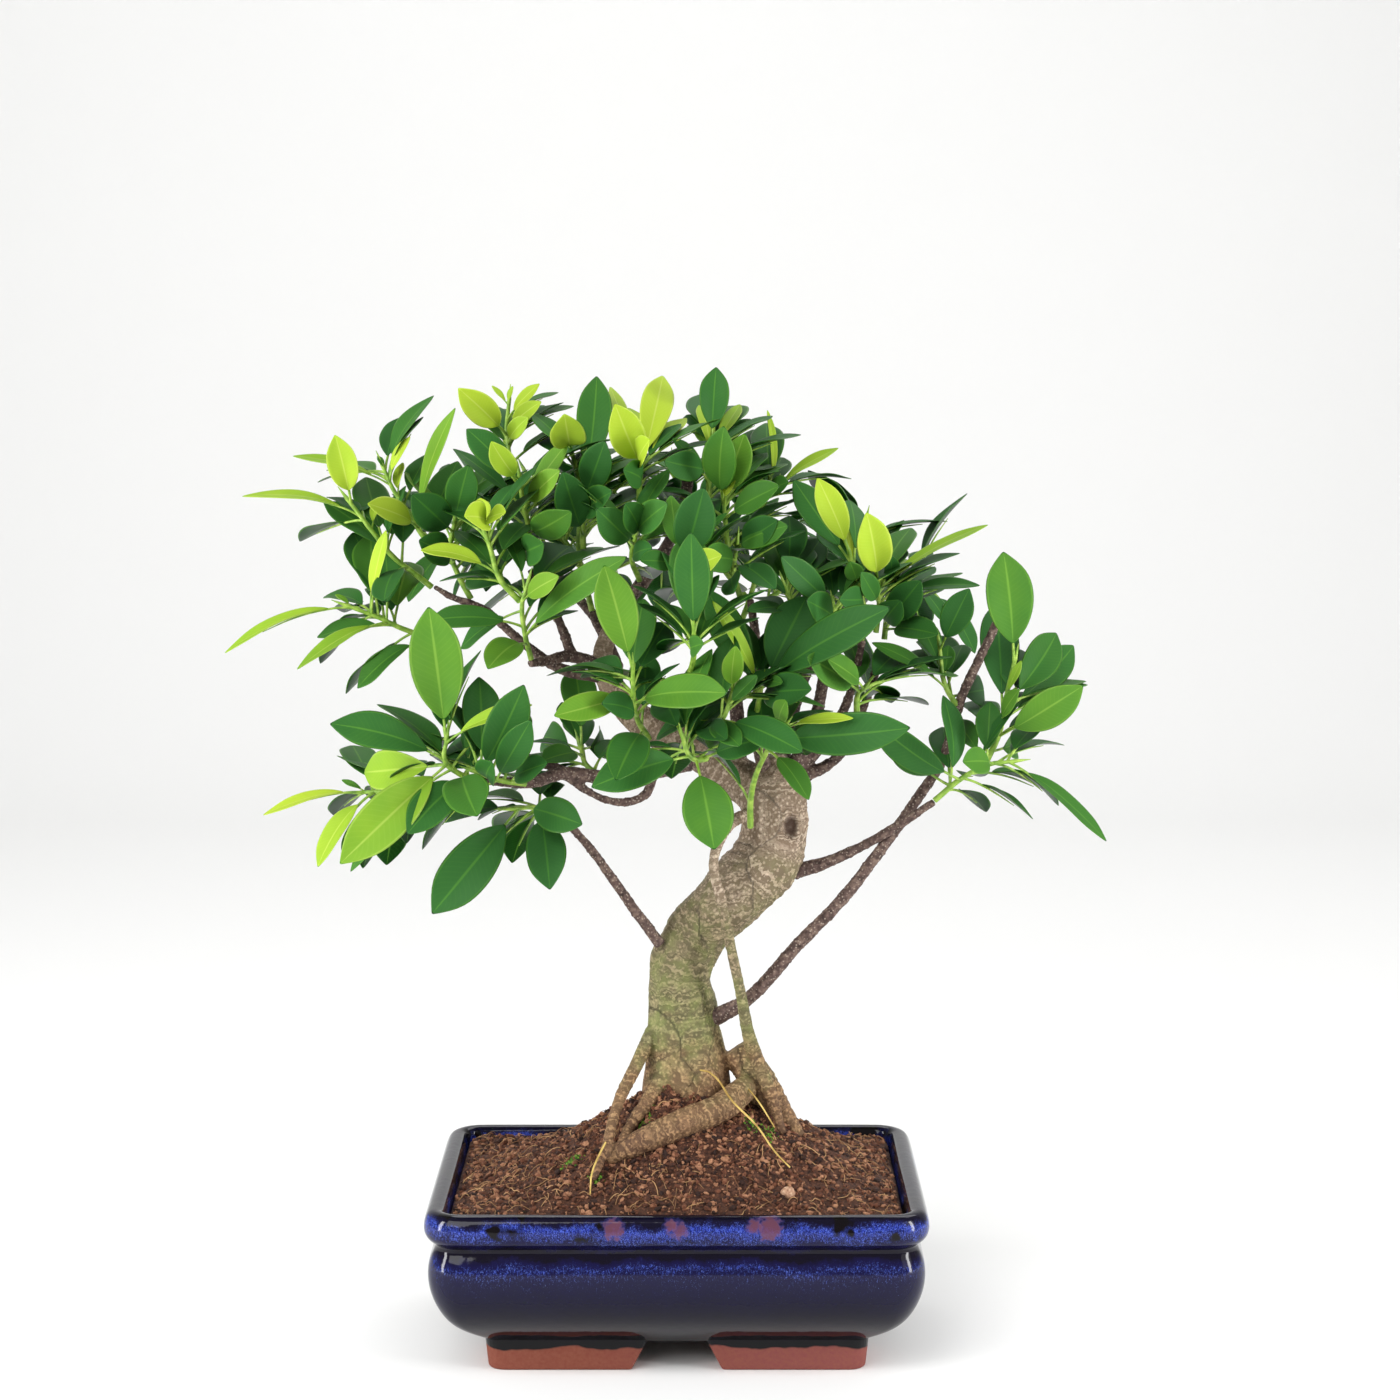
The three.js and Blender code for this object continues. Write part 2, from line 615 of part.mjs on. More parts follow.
    stem: [[105, -20, 230], [116, -24, 240], [127, -27, 246], [134, -28, 247]],
    stated: [
      [100, 172, -44, 217, 10, 55], [70, 113, -56, 251, 12, 35], [30, 79, -42, 265, 16, -25],
      [20, 88, -1, 256, 14, -25], [60, 113, 10, 259, 11, 20], [50, 139, -26, 271, 8, 66],
    ],
  },
];

// Sprays fill the back of the crown: three stems each, with leaves by rule alone.
const SPRAYS = {
  spray_back_left: [
    [[-52, 58, 316], [-62, 66, 338], [-68, 68, 354]],
    [[-57, 62, 327], [-80, 66, 330], [-94, 64, 330]],
    [[-56, 61, 325], [-54, 74, 316], [-52, 82, 306]],
  ],
  spray_back_high: [
    [[-36, 34, 302], [-42, 40, 330], [-38, 44, 354]],
    [[-40, 38, 320], [-56, 48, 343], [-64, 52, 358]],
    [[-42, 40, 330], [-28, 50, 350], [-20, 54, 364]],
  ],
  spray_back_middle: [
    [[4, 64, 318], [0, 70, 340], [-2, 72, 360]],
    [[2, 67, 328], [14, 76, 332], [26, 80, 336]],
    [[2, 66, 325], [-14, 74, 322], [-28, 78, 316]],
  ],
  spray_back_right: [
    [[70, 50, 302], [76, 60, 320], [80, 64, 336]],
    [[73, 55, 311], [94, 62, 312], [108, 64, 310]],
    [[72, 54, 308], [64, 68, 302], [60, 78, 294]],
  ],
  spray_back_inner: [
    [[24, 34, 290], [32, 40, 312], [36, 42, 334]],
    [[28, 37, 301], [46, 44, 312], [56, 48, 324]],
    [[30, 38, 306], [16, 44, 324], [8, 46, 342]],
  ],
};
const SPRAY_LEAVES = 3;
const SHOOT_RULED = 4;
const FIRST_SEED = 1.25;

// ---------------------------------------------------------------------------
// The pot and what it holds

// A rounded rectangle, counterclockwise, set in from the pot's widest outline.
function outline(inset, scale = 1) {
  const radius = Math.max(POT_CORNER - inset, 4);
  const centreX = POT_HALF_LENGTH - inset - radius;
  const centreY = POT_HALF_DEPTH - inset - radius;
  const points = [];
  for (let corner = 0; corner < 4; corner += 1) {
    const signX = corner === 0 || corner === 3 ? 1 : -1;
    const signY = corner < 2 ? 1 : -1;
    for (let step = 0; step <= CORNER_STEPS; step += 1) {
      const angle = (corner + step / CORNER_STEPS) * (Math.PI / 2);
      const x = signX * centreX + radius * Math.cos(angle);
      const y = signY * centreY + radius * Math.sin(angle);
      points.push([x * scale, y * scale]);
    }
  }
  return points;
}

// A lathe whose turning circle is the pot's rounded rectangle. A row is { inset, z, scale },
// and a row of scale 0 is on the axis. z may be a function of x and y.
function turned(rows) {
  const count = 4 * (CORNER_STEPS + 1);
  const profile = rows.map((row, index) => new THREE.Vector2(row.scale === 0 ? 0 : 1, index));
  const geometry = new THREE.LatheGeometry(profile, count);
  const position = geometry.attributes.position;
  const outlines = rows.map((row) => outline(row.inset ?? 0, row.scale ?? 1));
  for (let i = 0; i < position.count; i += 1) {
    const row = i % rows.length;
    const turn = Math.floor(i / rows.length) % count;
    const [x, y] = outlines[row][turn];
    const { z } = rows[row];
    position.setXYZ(i, x, y, typeof z === 'function' ? z(x, y) : z);
  }
  return solid(geometry);
}

function block(width, depth, height, x, y, z) {
  const geometry = new THREE.BoxGeometry(width, depth, height);
  geometry.translate(x, y, z);
  return solid(geometry);
}

// A notch between two feet: wider at the table than at the pot's underside.
function notch(bottomGap, topGap, length, alongX) {
  const reach = 1;
  const shape = new THREE.Shape();
  shape.moveTo(-bottomGap / 2, -reach);
  shape.lineTo(bottomGap / 2, -reach);
  shape.lineTo(topGap / 2, POT_UNDERSIDE);
  shape.lineTo(-topGap / 2, POT_UNDERSIDE);
  shape.closePath();
  const geometry = new THREE.ExtrudeGeometry(shape, { depth: length, bevelEnabled: false });
  geometry.translate(0, 0, -length / 2);
  geometry.rotateX(Math.PI / 2);
  if (alongX) {
    geometry.rotateZ(Math.PI / 2);
  }
  return solid(geometry);
}

const OUTER_WALL = [
  [28, POT_UNDERSIDE], [24.5, 13.5], [14, 20], [6.5, 28], [2.5, 36], [1.5, 44], [2, 50], [4, 54.5],
  [4, 57], [0.8, 60], [0, 63.5], [0.8, 68], [3.5, 71], [7.5, 71],
];
const INNER_WALL = [[9.5, 69], [10.5, 60], [11.5, 44], [16, 30], [23, 21], [FLOOR_INSET, FLOOR_TOP]];

function potSolid() {
  const walls = [...OUTER_WALL, ...INNER_WALL].map(([inset, z]) => ({ inset, z }));
  const bowl = turned([
    { scale: 0, z: POT_UNDERSIDE },
    ...walls,
    { scale: 0, z: FLOOR_TOP },
  ]);
  const ringTop = FOOT_RING_TOP;
  const inside = FOOT_RING_INSET + FOOT_WALL;
  const ring = turned([
    { inset: FOOT_RING_INSET + 2, z: 0 },
    { inset: FOOT_RING_INSET, z: ringTop },
    { inset: inside, z: ringTop },
    { inset: inside, z: 0 },
    { inset: FOOT_RING_INSET + 2, z: 0 },
  ]);
  const through = 2 * POT_HALF_LENGTH;
  const feet = ring
    .subtract(notch(FOOT_BOTTOM_GAP, FOOT_TOP_GAP, through, false))
    .subtract(notch(SIDE_GAP + 8, SIDE_GAP, through, true));
  let pot = bowl.add(feet);
  for (const x of [-DRAIN_X, DRAIN_X]) {
    const drain = new THREE.CylinderGeometry(DRAIN_RADIUS, DRAIN_RADIUS, 2 * FLOOR_TOP, 16);
    drain.rotateX(Math.PI / 2);
    drain.translate(x, 0, FLOOR_TOP);
    pot = pot.subtract(solid(drain));
  }
  return pot;
}

const SCREEN_MIDDLE = FLOOR_TOP + GAP + SCREEN_THICK / 2;

function screenSolid(x) {
  let screen = block(SCREEN_SIZE, SCREEN_SIZE, SCREEN_THICK, x, 0, SCREEN_MIDDLE);
  const first = (-SCREEN_PITCH * (SCREEN_HOLES - 1)) / 2;
  for (let row = 0; row < SCREEN_HOLES; row += 1) {
    for (let column = 0; column < SCREEN_HOLES; column += 1) {
      const holeX = x + first + column * SCREEN_PITCH;
      const holeY = first + row * SCREEN_PITCH;
      const hole = block(SCREEN_HOLE, SCREEN_HOLE, 2 * SCREEN_THICK, holeX, holeY, SCREEN_MIDDLE);
      screen = screen.subtract(hole);
    }
  }
  return screen;
}

function moundHeight(x, y) {
  const acrossX = (x - MOUND_X) / MOUND_HALF_LENGTH;
  const acrossY = (y + 2) / MOUND_HALF_DEPTH;
  return MOUND_HEIGHT * Math.exp(-acrossX * acrossX - acrossY * acrossY);
}

const PEBBLE = { x: 45, y: -52, z: 75, radius: 3.3 };

function pebbleSolid(grow = 0) {
  const geometry = new THREE.SphereGeometry(PEBBLE.radius + grow, 12, 8);
  geometry.scale(1.05, 0.9, 0.85);
  geometry.translate(PEBBLE.x, PEBBLE.y, PEBBLE.z);
  return solid(geometry);
}

function soilSolid(wood) {
  const edge = INNER_WALL[0][0] + 1.2;
  const rings = [0.9, 0.8, 0.68, 0.55, 0.42, 0.3, 0.15, 0];
  const sides = [...INNER_WALL].reverse().slice(0, -1);
  const soil = turned([
    { scale: 0, z: FLOOR_TOP + GAP },
    ...sides.map(([inset, z]) => ({ inset: inset + 2 * GAP, z: z + GAP })),
    { inset: edge, z: SOIL_EDGE },
    ...rings.map((scale) => ({
      inset: edge,
      scale,
      z: (x, y) => SOIL_EDGE + moundHeight(x, y) * (1 - scale ** 6),
    })),
  ]);
  const pocket = SCREEN_SIZE + 2 * GAP;
  const pocketTop = 2 * (SCREEN_THICK + 2 * GAP);
  return soil
    .subtract(wood)
    .subtract(pebbleSolid(GAP))
    .subtract(block(pocket, pocket, pocketTop, -DRAIN_X, 0, FLOOR_TOP))
    .subtract(block(pocket, pocket, pocketTop, DRAIN_X, 0, FLOOR_TOP));
}

// ---------------------------------------------------------------------------
// Growing the plant: each piece is cut clear of those that grew before it

const STEM_BASE_RADIUS = 1.3;
const STEM_TIP_RADIUS = 0.8;

function trunkSolid(grow = 0) {
  return joined([
    limb(TRUNK, 12, 13, grow),
    limb(MAIN_LIMB, 8, 8, grow),
    ...ROOTS.map((root) => limb(root, 6, 5, grow)),
    limb(PROP_ROOT, 6, 10, grow),
  ]);
}

function branchSolid(limbs, grow = 0) {
  return joined(limbs.map((points) => limb(points, 5, Math.ceil(1.4 * points.length), grow)));
}

function stemSolid(path, grow) {
  const last = path.length - 1;
  const points = path.map(([x, y, z], index) => {
    const radius = THREE.MathUtils.lerp(STEM_BASE_RADIUS, STEM_TIP_RADIUS, index / last);
    return [x, y, z, radius];
  });
  return limb(points, 4, last + 1, grow);
}

function leafySolid(paths, leaves, grow = 0) {
  const stems = paths.map((path) => stemSolid(path, grow));
  return joined([...stems, ...leaves.map(grow > 0 ? leafRoom : leaf)]);
}

const plant = new THREE.Group();

function addNode(name, whole, material) {
  const mesh = new THREE.Mesh(geometryOf(whole), material);
  mesh.name = name;
  plant.add(mesh);
}

const grown = [];

function boxesMeet(first, second) {
  return [0, 1, 2].every((axis) => first.min[axis] < second.max[axis] && second.min[axis] < first.max[axis]);
}

function growNode(name, make, material) {
  let whole = make(0);
  const box = whole.boundingBox();
  for (const earlier of grown) {
    if (boxesMeet(box, earlier.boundingBox())) {
      whole = whole.subtract(earlier);
    }
  }
  addNode(name, biggest(whole).simplify(SLIVER), material);
  grown.push(make(GAP));
}

growNode('trunk', trunkSolid, bark);
const woodInSoil = grown[0];

for (const [name, limbs] of Object.entries(BRANCHES)) {
  growNode(name, (grow) => branchSolid(limbs, grow), twigBark);
}

// A ruled leaf grows only where nothing has grown yet.
function hasRoom(one) {
  const body = leafRoom(one);
  const box = body.boundingBox();
  return !grown.some((earlier) => (
    boxesMeet(box, earlier.boundingBox()) && !body.intersect(earlier).isEmpty()
  ));
}

function withRoom(leaves, most) {
  return leaves.filter(hasRoom).slice(0, most);
}

SHOOTS.forEach((shoot, index) => {
  const ruled = withRoom(ruledLeaves(shoot.stem, index + FIRST_SEED, true), SHOOT_RULED);
  const leaves = [...statedLeaves(shoot.stem, shoot.stated), ...ruled];
  growNode(shoot.name, (grow) => leafySolid([shoot.stem], leaves, grow), matureLeaf);
});

Object.entries(SPRAYS).forEach(([name, paths], index) => {
  const firstSeed = 100 + 10 * index;
  const leaves = paths.flatMap((path, stem) => (
    withRoom(ruledLeaves(path, firstSeed + stem, false), SPRAY_LEAVES)
  ));
  growNode(name, (grow) => leafySolid(paths, leaves, grow), matureLeaf);
});

addNode('pot', potSolid(), glaze);
addNode('drain_screen_left', screenSolid(-DRAIN_X), plasticMesh);
addNode('drain_screen_right', screenSolid(DRAIN_X), plasticMesh);
addNode('pebble', pebbleSolid(), stone);
addNode('soil', biggest(soilSolid(woodInSoil)), peat);

const middle = new THREE.Box3().setFromObject(plant).getCenter(new THREE.Vector3());
plant.position.set(-middle.x, -middle.y, 0);

export default plant;
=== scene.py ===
# %% [markdown]
# # A ficus bonsai in a glazed pot
# The plant is a small retusa ficus: a bent trunk, a few long branches and a crown of waxy leaves.
# It stands in a heap of peat in a rectangular pot with a dark blue glaze. The solid model of the
# plant is already fixed, so this lesson builds the fine surface of every piece where it stands.
# All lengths in the tables are millimetres, because that is how such a plant is measured.
# Blender works in metres, so each builder turns them over as it makes its mesh.

# %% Load the fixed frame
import math
import random

import bmesh
import bpy
from mathutils import Matrix, Vector, kdtree, noise


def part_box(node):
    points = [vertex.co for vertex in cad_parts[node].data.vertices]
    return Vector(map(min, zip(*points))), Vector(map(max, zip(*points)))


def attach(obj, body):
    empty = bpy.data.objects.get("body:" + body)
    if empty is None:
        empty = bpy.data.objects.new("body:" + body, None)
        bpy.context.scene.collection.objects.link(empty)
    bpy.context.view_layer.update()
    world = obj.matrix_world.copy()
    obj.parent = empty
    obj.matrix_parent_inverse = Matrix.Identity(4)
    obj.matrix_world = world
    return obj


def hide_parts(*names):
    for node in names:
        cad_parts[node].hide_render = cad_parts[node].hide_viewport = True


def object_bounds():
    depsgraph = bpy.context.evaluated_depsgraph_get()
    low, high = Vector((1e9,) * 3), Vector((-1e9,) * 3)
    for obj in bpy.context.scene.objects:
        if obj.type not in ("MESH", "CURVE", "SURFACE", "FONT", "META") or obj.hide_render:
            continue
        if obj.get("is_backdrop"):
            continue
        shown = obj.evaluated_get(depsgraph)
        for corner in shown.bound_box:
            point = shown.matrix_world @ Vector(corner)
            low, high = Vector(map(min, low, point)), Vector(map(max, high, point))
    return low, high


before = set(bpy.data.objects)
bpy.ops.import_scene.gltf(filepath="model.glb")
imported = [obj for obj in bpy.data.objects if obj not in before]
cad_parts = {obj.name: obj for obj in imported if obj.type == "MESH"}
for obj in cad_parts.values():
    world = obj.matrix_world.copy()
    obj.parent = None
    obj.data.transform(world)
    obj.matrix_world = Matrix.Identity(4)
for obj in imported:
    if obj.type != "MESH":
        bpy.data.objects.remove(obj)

CAD_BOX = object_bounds()
MM = 0.001
pot_low, pot_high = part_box("pot")
MIDDLE = Vector(((pot_low.x + pot_high.x) / 2, (pot_low.y + pot_high.y) / 2, 0))
print("frame:", len(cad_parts), "nodes, pot centred at", [round(c, 4) for c in MIDDLE])


def spot(x, y, z):
    """A place given in millimetres from under the middle of the pot, as a point in metres."""
    return MIDDLE + Vector((x, y, z)) * MM


# %% [markdown]
# ## Small helpers
# Colours are written as sRGB hex, as a paint chart gives them, and one function turns them to
# the linear values that shader sockets want. One function adds a shader node with its settings
# and links. Many surfaces here are one grain that colours and roughens them, so one function makes
# those. The last one turns a finished mesh into a piece: it sits at the origin, rides on the
# plant's only body and hides the solids it stands for.

# %% Colours, nodes and pieces
MIX_FACTOR, MIX_A, MIX_B, MIX_OUT = 0, 6, 7, 2


def linear(colour):
    """An sRGB hex colour as the linear red, green, blue and alpha of a shader socket."""
    shares = [int(colour[i:i + 2], 16) / 255 for i in (1, 3, 5)]
    return [s / 12.92 if s <= 0.04045 else ((s + 0.055) / 1.055) ** 2.4 for s in shares] + [1.0]


def add(tree, kind, inputs=None, stops=None, **settings):
    """Adds one shader node. An input is a value, an output, or a node whose first output feeds it."""
    made = tree.nodes.new("ShaderNode" + kind)
    for name, value in settings.items():
        setattr(made, name, value)
    for index, (place, colour) in enumerate(stops or []):
        elements = made.color_ramp.elements
        element = elements[index] if index < 2 else elements.new(place)
        element.position = place
        element.color = linear(colour) if isinstance(colour, str) else (colour, colour, colour, 1)
    for name, value in (inputs or {}).items():
        if isinstance(value, bpy.types.Node):
            value = value.outputs[0]
        if isinstance(value, bpy.types.NodeSocket):
            tree.links.new(value, made.inputs[name])
        else:
            made.inputs[name].default_value = value
    return made


def new_material(name):
    """A material with an empty node tree, its tree and its output node."""
    material = bpy.data.materials.new(name)
    material.use_nodes = True
    material.node_tree.nodes.clear()
    output = material.node_tree.nodes.new("ShaderNodeOutputMaterial")
    return material, material.node_tree, output


def in_millimetres(tree, centred=True):
    """The surface's own place in millimetres, with zero under the middle of the pot if centred."""
    place = add(tree, "TexCoord").outputs["Object"]
    if centred:
        place = add(tree, "VectorMath", {0: place, 1: -MIDDLE}, operation="ADD")
    return add(tree, "VectorMath", {0: place, "Scale": 1000.0}, operation="SCALE").outputs[0]


def grained_material(name, scale, detail, stops, roughness, relief=None):
    """A surface whose colour follows a fine grain. relief is the grain's bump: strength and metres."""
    material, tree, output = new_material(name)
    place = add(tree, "TexCoord").outputs["Object"]
    grain = add(tree, "TexNoise", {"Vector": place, "Scale": scale, "Detail": detail})
    colour = add(tree, "ValToRGB", {0: grain}, stops=stops)
    surface = {"Base Color": colour, "Roughness": roughness}
    if relief:
        surface["Normal"] = add(tree, "Bump", {"Height": grain, "Strength": relief[0], "Distance": relief[1]})
    finish = add(tree, "BsdfPrincipled", surface)
    tree.links.new(finish.outputs["BSDF"], output.inputs["Surface"])
    return material


def mesh_object(name, mesh, materials):
    """An object at the origin that shows a mesh with smooth faces and its materials."""
    made = bpy.data.objects.new(name, mesh)
    bpy.context.scene.collection.objects.link(made)
    for material in materials:
        mesh.materials.append(material)
    mesh.shade_smooth()
    return made


def from_bmesh(name, bm, materials):
    """Turns a bmesh into an object that wears these materials."""
    mesh = bpy.data.meshes.new(name)
    bm.to_mesh(mesh)
    bm.free()
    return mesh_object(name, mesh, materials)


def finished_mesh(made):
    """The mesh that an object shows with its modifiers, and the object is taken away."""
    graph = bpy.context.evaluated_depsgraph_get()
    mesh = bpy.data.meshes.new_from_object(made.evaluated_get(graph), depsgraph=graph)
    bpy.data.objects.remove(made)
    return mesh


def as_piece(made, slot, *nodes):
    """Makes an object a piece of the plant that stands for its solid nodes."""
    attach(made, "root")
    if nodes:
        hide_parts(*nodes)
    made.data.calc_loop_triangles()
    print(f"{made.name}: {len(made.data.loop_triangles)} triangles")
    return made


# %% [markdown]
# Roots, twigs, stalks and stems are all round limbs along a line. A curve does this best: it has a
# radius at every point, a round bevel, closed ends, and it turns to a mesh in one step.

# %% Round limbs from curves


def curve_mesh(name, lines, sides=2):
    """Round limbs along lines of (point in mm, radius in mm), as one mesh with closed ends."""
    data = bpy.data.curves.new(name, "CURVE")
    data.dimensions = "3D"
    data.bevel_depth = MM
    data.bevel_resolution = sides
    data.use_fill_caps = True
    for line in lines:
        spline = data.splines.new("BEZIER")
        spline.resolution_u = 5
        spline.bezier_points.add(len(line) - 1)
        for point, (place, radius) in zip(spline.bezier_points, line):
            point.co = spot(*place)
            point.radius = radius
            point.handle_left_type = point.handle_right_type = "AUTO"
    made = bpy.data.objects.new(name, data)
    bpy.context.scene.collection.objects.link(made)
    return finished_mesh(made)


# %% [markdown]
# ## Camera, floor and light
# The plant is seen from a little above the crown's middle, through a short telephoto lens, as on
# a shop's product page. The standard view shows colours as they are mixed. The floor is a pale
# sheet that rises behind in one sweep, so no edge shows. Light comes from a big soft window at the
# upper left, a second on the right, a third behind, and the pale room all round. Tall narrow
# windows at the sides give the glaze its upright highlights.

# %% The camera
CAMERA_PLACE = spot(9.4, -1303, 435)
CAMERA_PITCH = 0.127
CAMERA_LENS = 82.03
SENSOR_WIDTH = 36
camera_data = bpy.data.cameras.new("camera")
camera_data.lens = CAMERA_LENS
camera_data.sensor_width = SENSOR_WIDTH
camera = bpy.data.objects.new("camera", camera_data)
camera.location = CAMERA_PLACE
camera.rotation_euler = (math.pi / 2 - CAMERA_PITCH, 0, 0)
bpy.context.scene.collection.objects.link(camera)
bpy.context.scene.camera = camera
bpy.context.scene.view_settings.view_transform = "Standard"
print("camera at", [round(c, 3) for c in camera.location])

# %% The pale sweep
SWEEP_WIDTH, SWEEP_FRONT, SWEEP_BACK, SWEEP_BEND, SWEEP_HEIGHT = 14.0, -8.0, 1.3, 0.5, 2.6
BEND_STEPS = 9


def pale_sheet():
    """Matt seamless paper: diffuse, with no pattern, so the eye stays on the plant."""
    material, tree, output = new_material("matt_seamless_paper")
    paper = add(tree, "BsdfPrincipled", {"Base Color": linear("#F3F3F2"), "Roughness": 0.9})
    tree.links.new(paper.outputs["BSDF"], output.inputs["Surface"])
    return material


def sweep_object():
    """One edge across the front, extruded back along the floor, round the bend and up."""
    bm = bmesh.new()
    left = bm.verts.new((-SWEEP_WIDTH / 2, SWEEP_FRONT, 0))
    right = bm.verts.new((SWEEP_WIDTH / 2, SWEEP_FRONT, 0))
    edge = bm.edges.new((left, right))
    turns = [math.radians(90 / BEND_STEPS * step) for step in range(BEND_STEPS + 1)]
    steps = [(SWEEP_BACK + SWEEP_BEND * math.sin(a), SWEEP_BEND * (1 - math.cos(a))) for a in turns]
    for y, z in steps + [(SWEEP_BACK + SWEEP_BEND, SWEEP_HEIGHT)]:
        grown = bmesh.ops.extrude_edge_only(bm, edges=[edge])["geom"]
        for vertex in (g for g in grown if isinstance(g, bmesh.types.BMVert)):
            vertex.co.y, vertex.co.z = y, z
        edge = next(g for g in grown if isinstance(g, bmesh.types.BMEdge) and
                    all(v in grown for v in g.verts))
    bmesh.ops.recalc_face_normals(bm, faces=bm.faces)
    return from_bmesh("sweep", bm, [pale_sheet()])


sweep_object()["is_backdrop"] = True

# %% Windows and room light


def window_light(name, place, aim, width, height, power):
    """A rectangular soft light that looks at a point of the plant."""
    data = bpy.data.lights.new(name, "AREA")
    data.shape = "RECTANGLE"
    data.size, data.size_y = width, height
    data.energy = power
    made = bpy.data.objects.new(name, data)
    made.location = spot(*place)
    made.rotation_euler = (spot(*aim) - made.location).to_track_quat("-Z", "Y").to_euler()
    bpy.context.scene.collection.objects.link(made)


# Each window: place and aim in millimetres, width and height in metres, power in watts.
window_light("key_window", (-900, -1500, 1500), (0, 0, 260), 1.5, 1.5, 31)
window_light("fill_window", (1500, -900, 900), (0, 0, 240), 1.2, 1.4, 6.5)
window_light("back_window", (300, 1100, 1700), (0, 0, 300), 1.6, 0.9, 13)
window_light("left_strip", (-900, -420, 330), (0, 0, 60), 0.16, 0.75, 8)
window_light("right_strip", (900, -420, 330), (0, 0, 60), 0.16, 0.75, 8)

world = bpy.data.worlds.new("pale_room")
bpy.context.scene.world = world
world.use_nodes = True
room = world.node_tree.nodes["Background"]
room.inputs["Color"].default_value = linear("#FCFCFC")
room.inputs["Strength"].default_value = 0.34

# %% [markdown]
# ## The pot
# A stoneware pot like this is pressed in a mould, so it is one wall of even thickness: a rolled
# lip, a waist groove, a belly and four corner feet, with two drainage holes. A lathe can't make
# it, because it is a rounded rectangle, but the same idea works. One ring of edges is extruded
# again and again, and each new ring is set in from the lip by the profile's own distance. The
# ring is smoothed with a subdivision surface before the feet are joined on and the holes are
# cut, because a boolean leaves long thin faces that no longer smooth well.

# %% The pot's rings
POT_HALF_LENGTH, POT_HALF_DEPTH, POT_CORNER, TIGHTEST_CORNER = 102, 75, 16, 5
SIDE_STEPS, CORNER_STEPS = 6, 6
OUTER_WALL = [
    (26.5, 10.2), (24.5, 13.0), (19, 16.2), (12, 21.5), (6.8, 27.5), (3.2, 34.5), (1.7, 41), (1.7, 47),
    (2.9, 51.6), (4.2, 54), (4.7, 55.6), (4.2, 57.2), (2.2, 58.6), (0.7, 60.6), (0.1, 63.6), (0.7, 67.2),
    (2.2, 69.9), (4.6, 70.9), (7.2, 70.7),
]
INNER_WALL = [(8.8, 69.4), (9.6, 66.5), (10.6, 60), (11.6, 44), (16.2, 30), (23.2, 21), (29, 17), (34, 16.1)]


def outline(inset):
    """The pot's rounded rectangle in millimetres, set in from the lip, as a closed list."""
    radius = max(POT_CORNER - inset, TIGHTEST_CORNER)
    half_x, half_y = POT_HALF_LENGTH - inset - radius, POT_HALF_DEPTH - inset - radius
    corners = [(1, 1), (-1, 1), (-1, -1), (1, -1)]
    points = []
    for turn, (side_x, side_y) in enumerate(corners):
        for step in range(CORNER_STEPS + 1):
            angle = (turn + step / CORNER_STEPS) * math.pi / 2
            corner = Vector((side_x * half_x, side_y * half_y))
            points.append(corner + radius * Vector((math.cos(angle), math.sin(angle))))
        next_x, next_y = corners[(turn + 1) % 4]
        angle = (turn + 1) * math.pi / 2
        end = Vector((next_x * half_x, next_y * half_y))
        end += radius * Vector((math.cos(angle), math.sin(angle)))
        start = points[-1]
        points += [start.lerp(end, step / SIDE_STEPS) for step in range(1, SIDE_STEPS)]
    return points


def ring_of(bm, points, height):
    """Moves a fresh circle of vertices onto an outline at a height, and gives its edges."""
    made = bmesh.ops.create_circle(bm, segments=len(points), radius=1)["verts"]
    made.sort(key=lambda v: math.atan2(v.co.y, v.co.x) % (2 * math.pi))
    for vertex, point in zip(made, points):
        vertex.co = spot(point.x, point.y, height)
    return list({edge for vertex in made for edge in vertex.link_edges})


def extruded_ring(bm, edges, old_points, points, height):
    """Extrudes a ring of edges to the next outline and gives the new ring's edges."""
    grown = bmesh.ops.extrude_edge_only(bm, edges=edges)["geom"]
    fresh = {g for g in grown if isinstance(g, bmesh.types.BMVert)}
    where = {(round(p.x, 3), round(p.y, 3)): index for index, p in enumerate(old_points)}
    for vertex in fresh:
        local = (vertex.co - MIDDLE) / MM
        point = points[where[(round(local.x, 3), round(local.y, 3))]]
        vertex.co = spot(point.x, point.y, height)
    return [g for g in grown if isinstance(g, bmesh.types.BMEdge) and set(g.verts) <= fresh]


def pot_wall():
    """The whole wall from the underside, up the outside, over the lip and down the inside."""
    bm = bmesh.new()
    profile = OUTER_WALL + INNER_WALL
    points = outline(profile[0][0])
    edges = ring_of(bm, points, profile[0][1])
    bmesh.ops.contextual_create(bm, geom=edges)
    for inset, height in profile[1:]:
        next_points = outline(inset)
        edges = extruded_ring(bm, edges, points, next_points, height)
        points = next_points
    bmesh.ops.contextual_create(bm, geom=edges)
    bmesh.ops.recalc_face_normals(bm, faces=bm.faces)
    wall = from_bmesh("pot_wall", bm, [])
    smooth = wall.modifiers.new("smooth", "SUBSURF")
    smooth.levels = smooth.render_levels = 2
    return wall


# %% [markdown]
# Each foot is an L that follows a corner of the pot. Its ends slope, so the gap between two feet
# is wider at the table than at the pot. The same L is extruded at each corner, with the signs of
# its two sides turned, and then all four are bevelled.

# %% The feet and the drainage holes
FOOT_OUTER_X, FOOT_OUTER_Y, FOOT_WALL, FOOT_TOP = 77, 50, 13, 15
FRONT_GAP_TOP, FRONT_GAP_BOTTOM, SIDE_GAP_TOP, SIDE_GAP_BOTTOM = 11, 18.5, 15, 19
FOOT_SPLAY = 1.5
FOOT_CORNER_RADIUS, FOOT_EDGE_RADIUS = 7, 1.1
SHARP_FOLD = 0.3
SLACK = 0.1
DRAIN_RADIUS, DRAIN_X = 7, 50


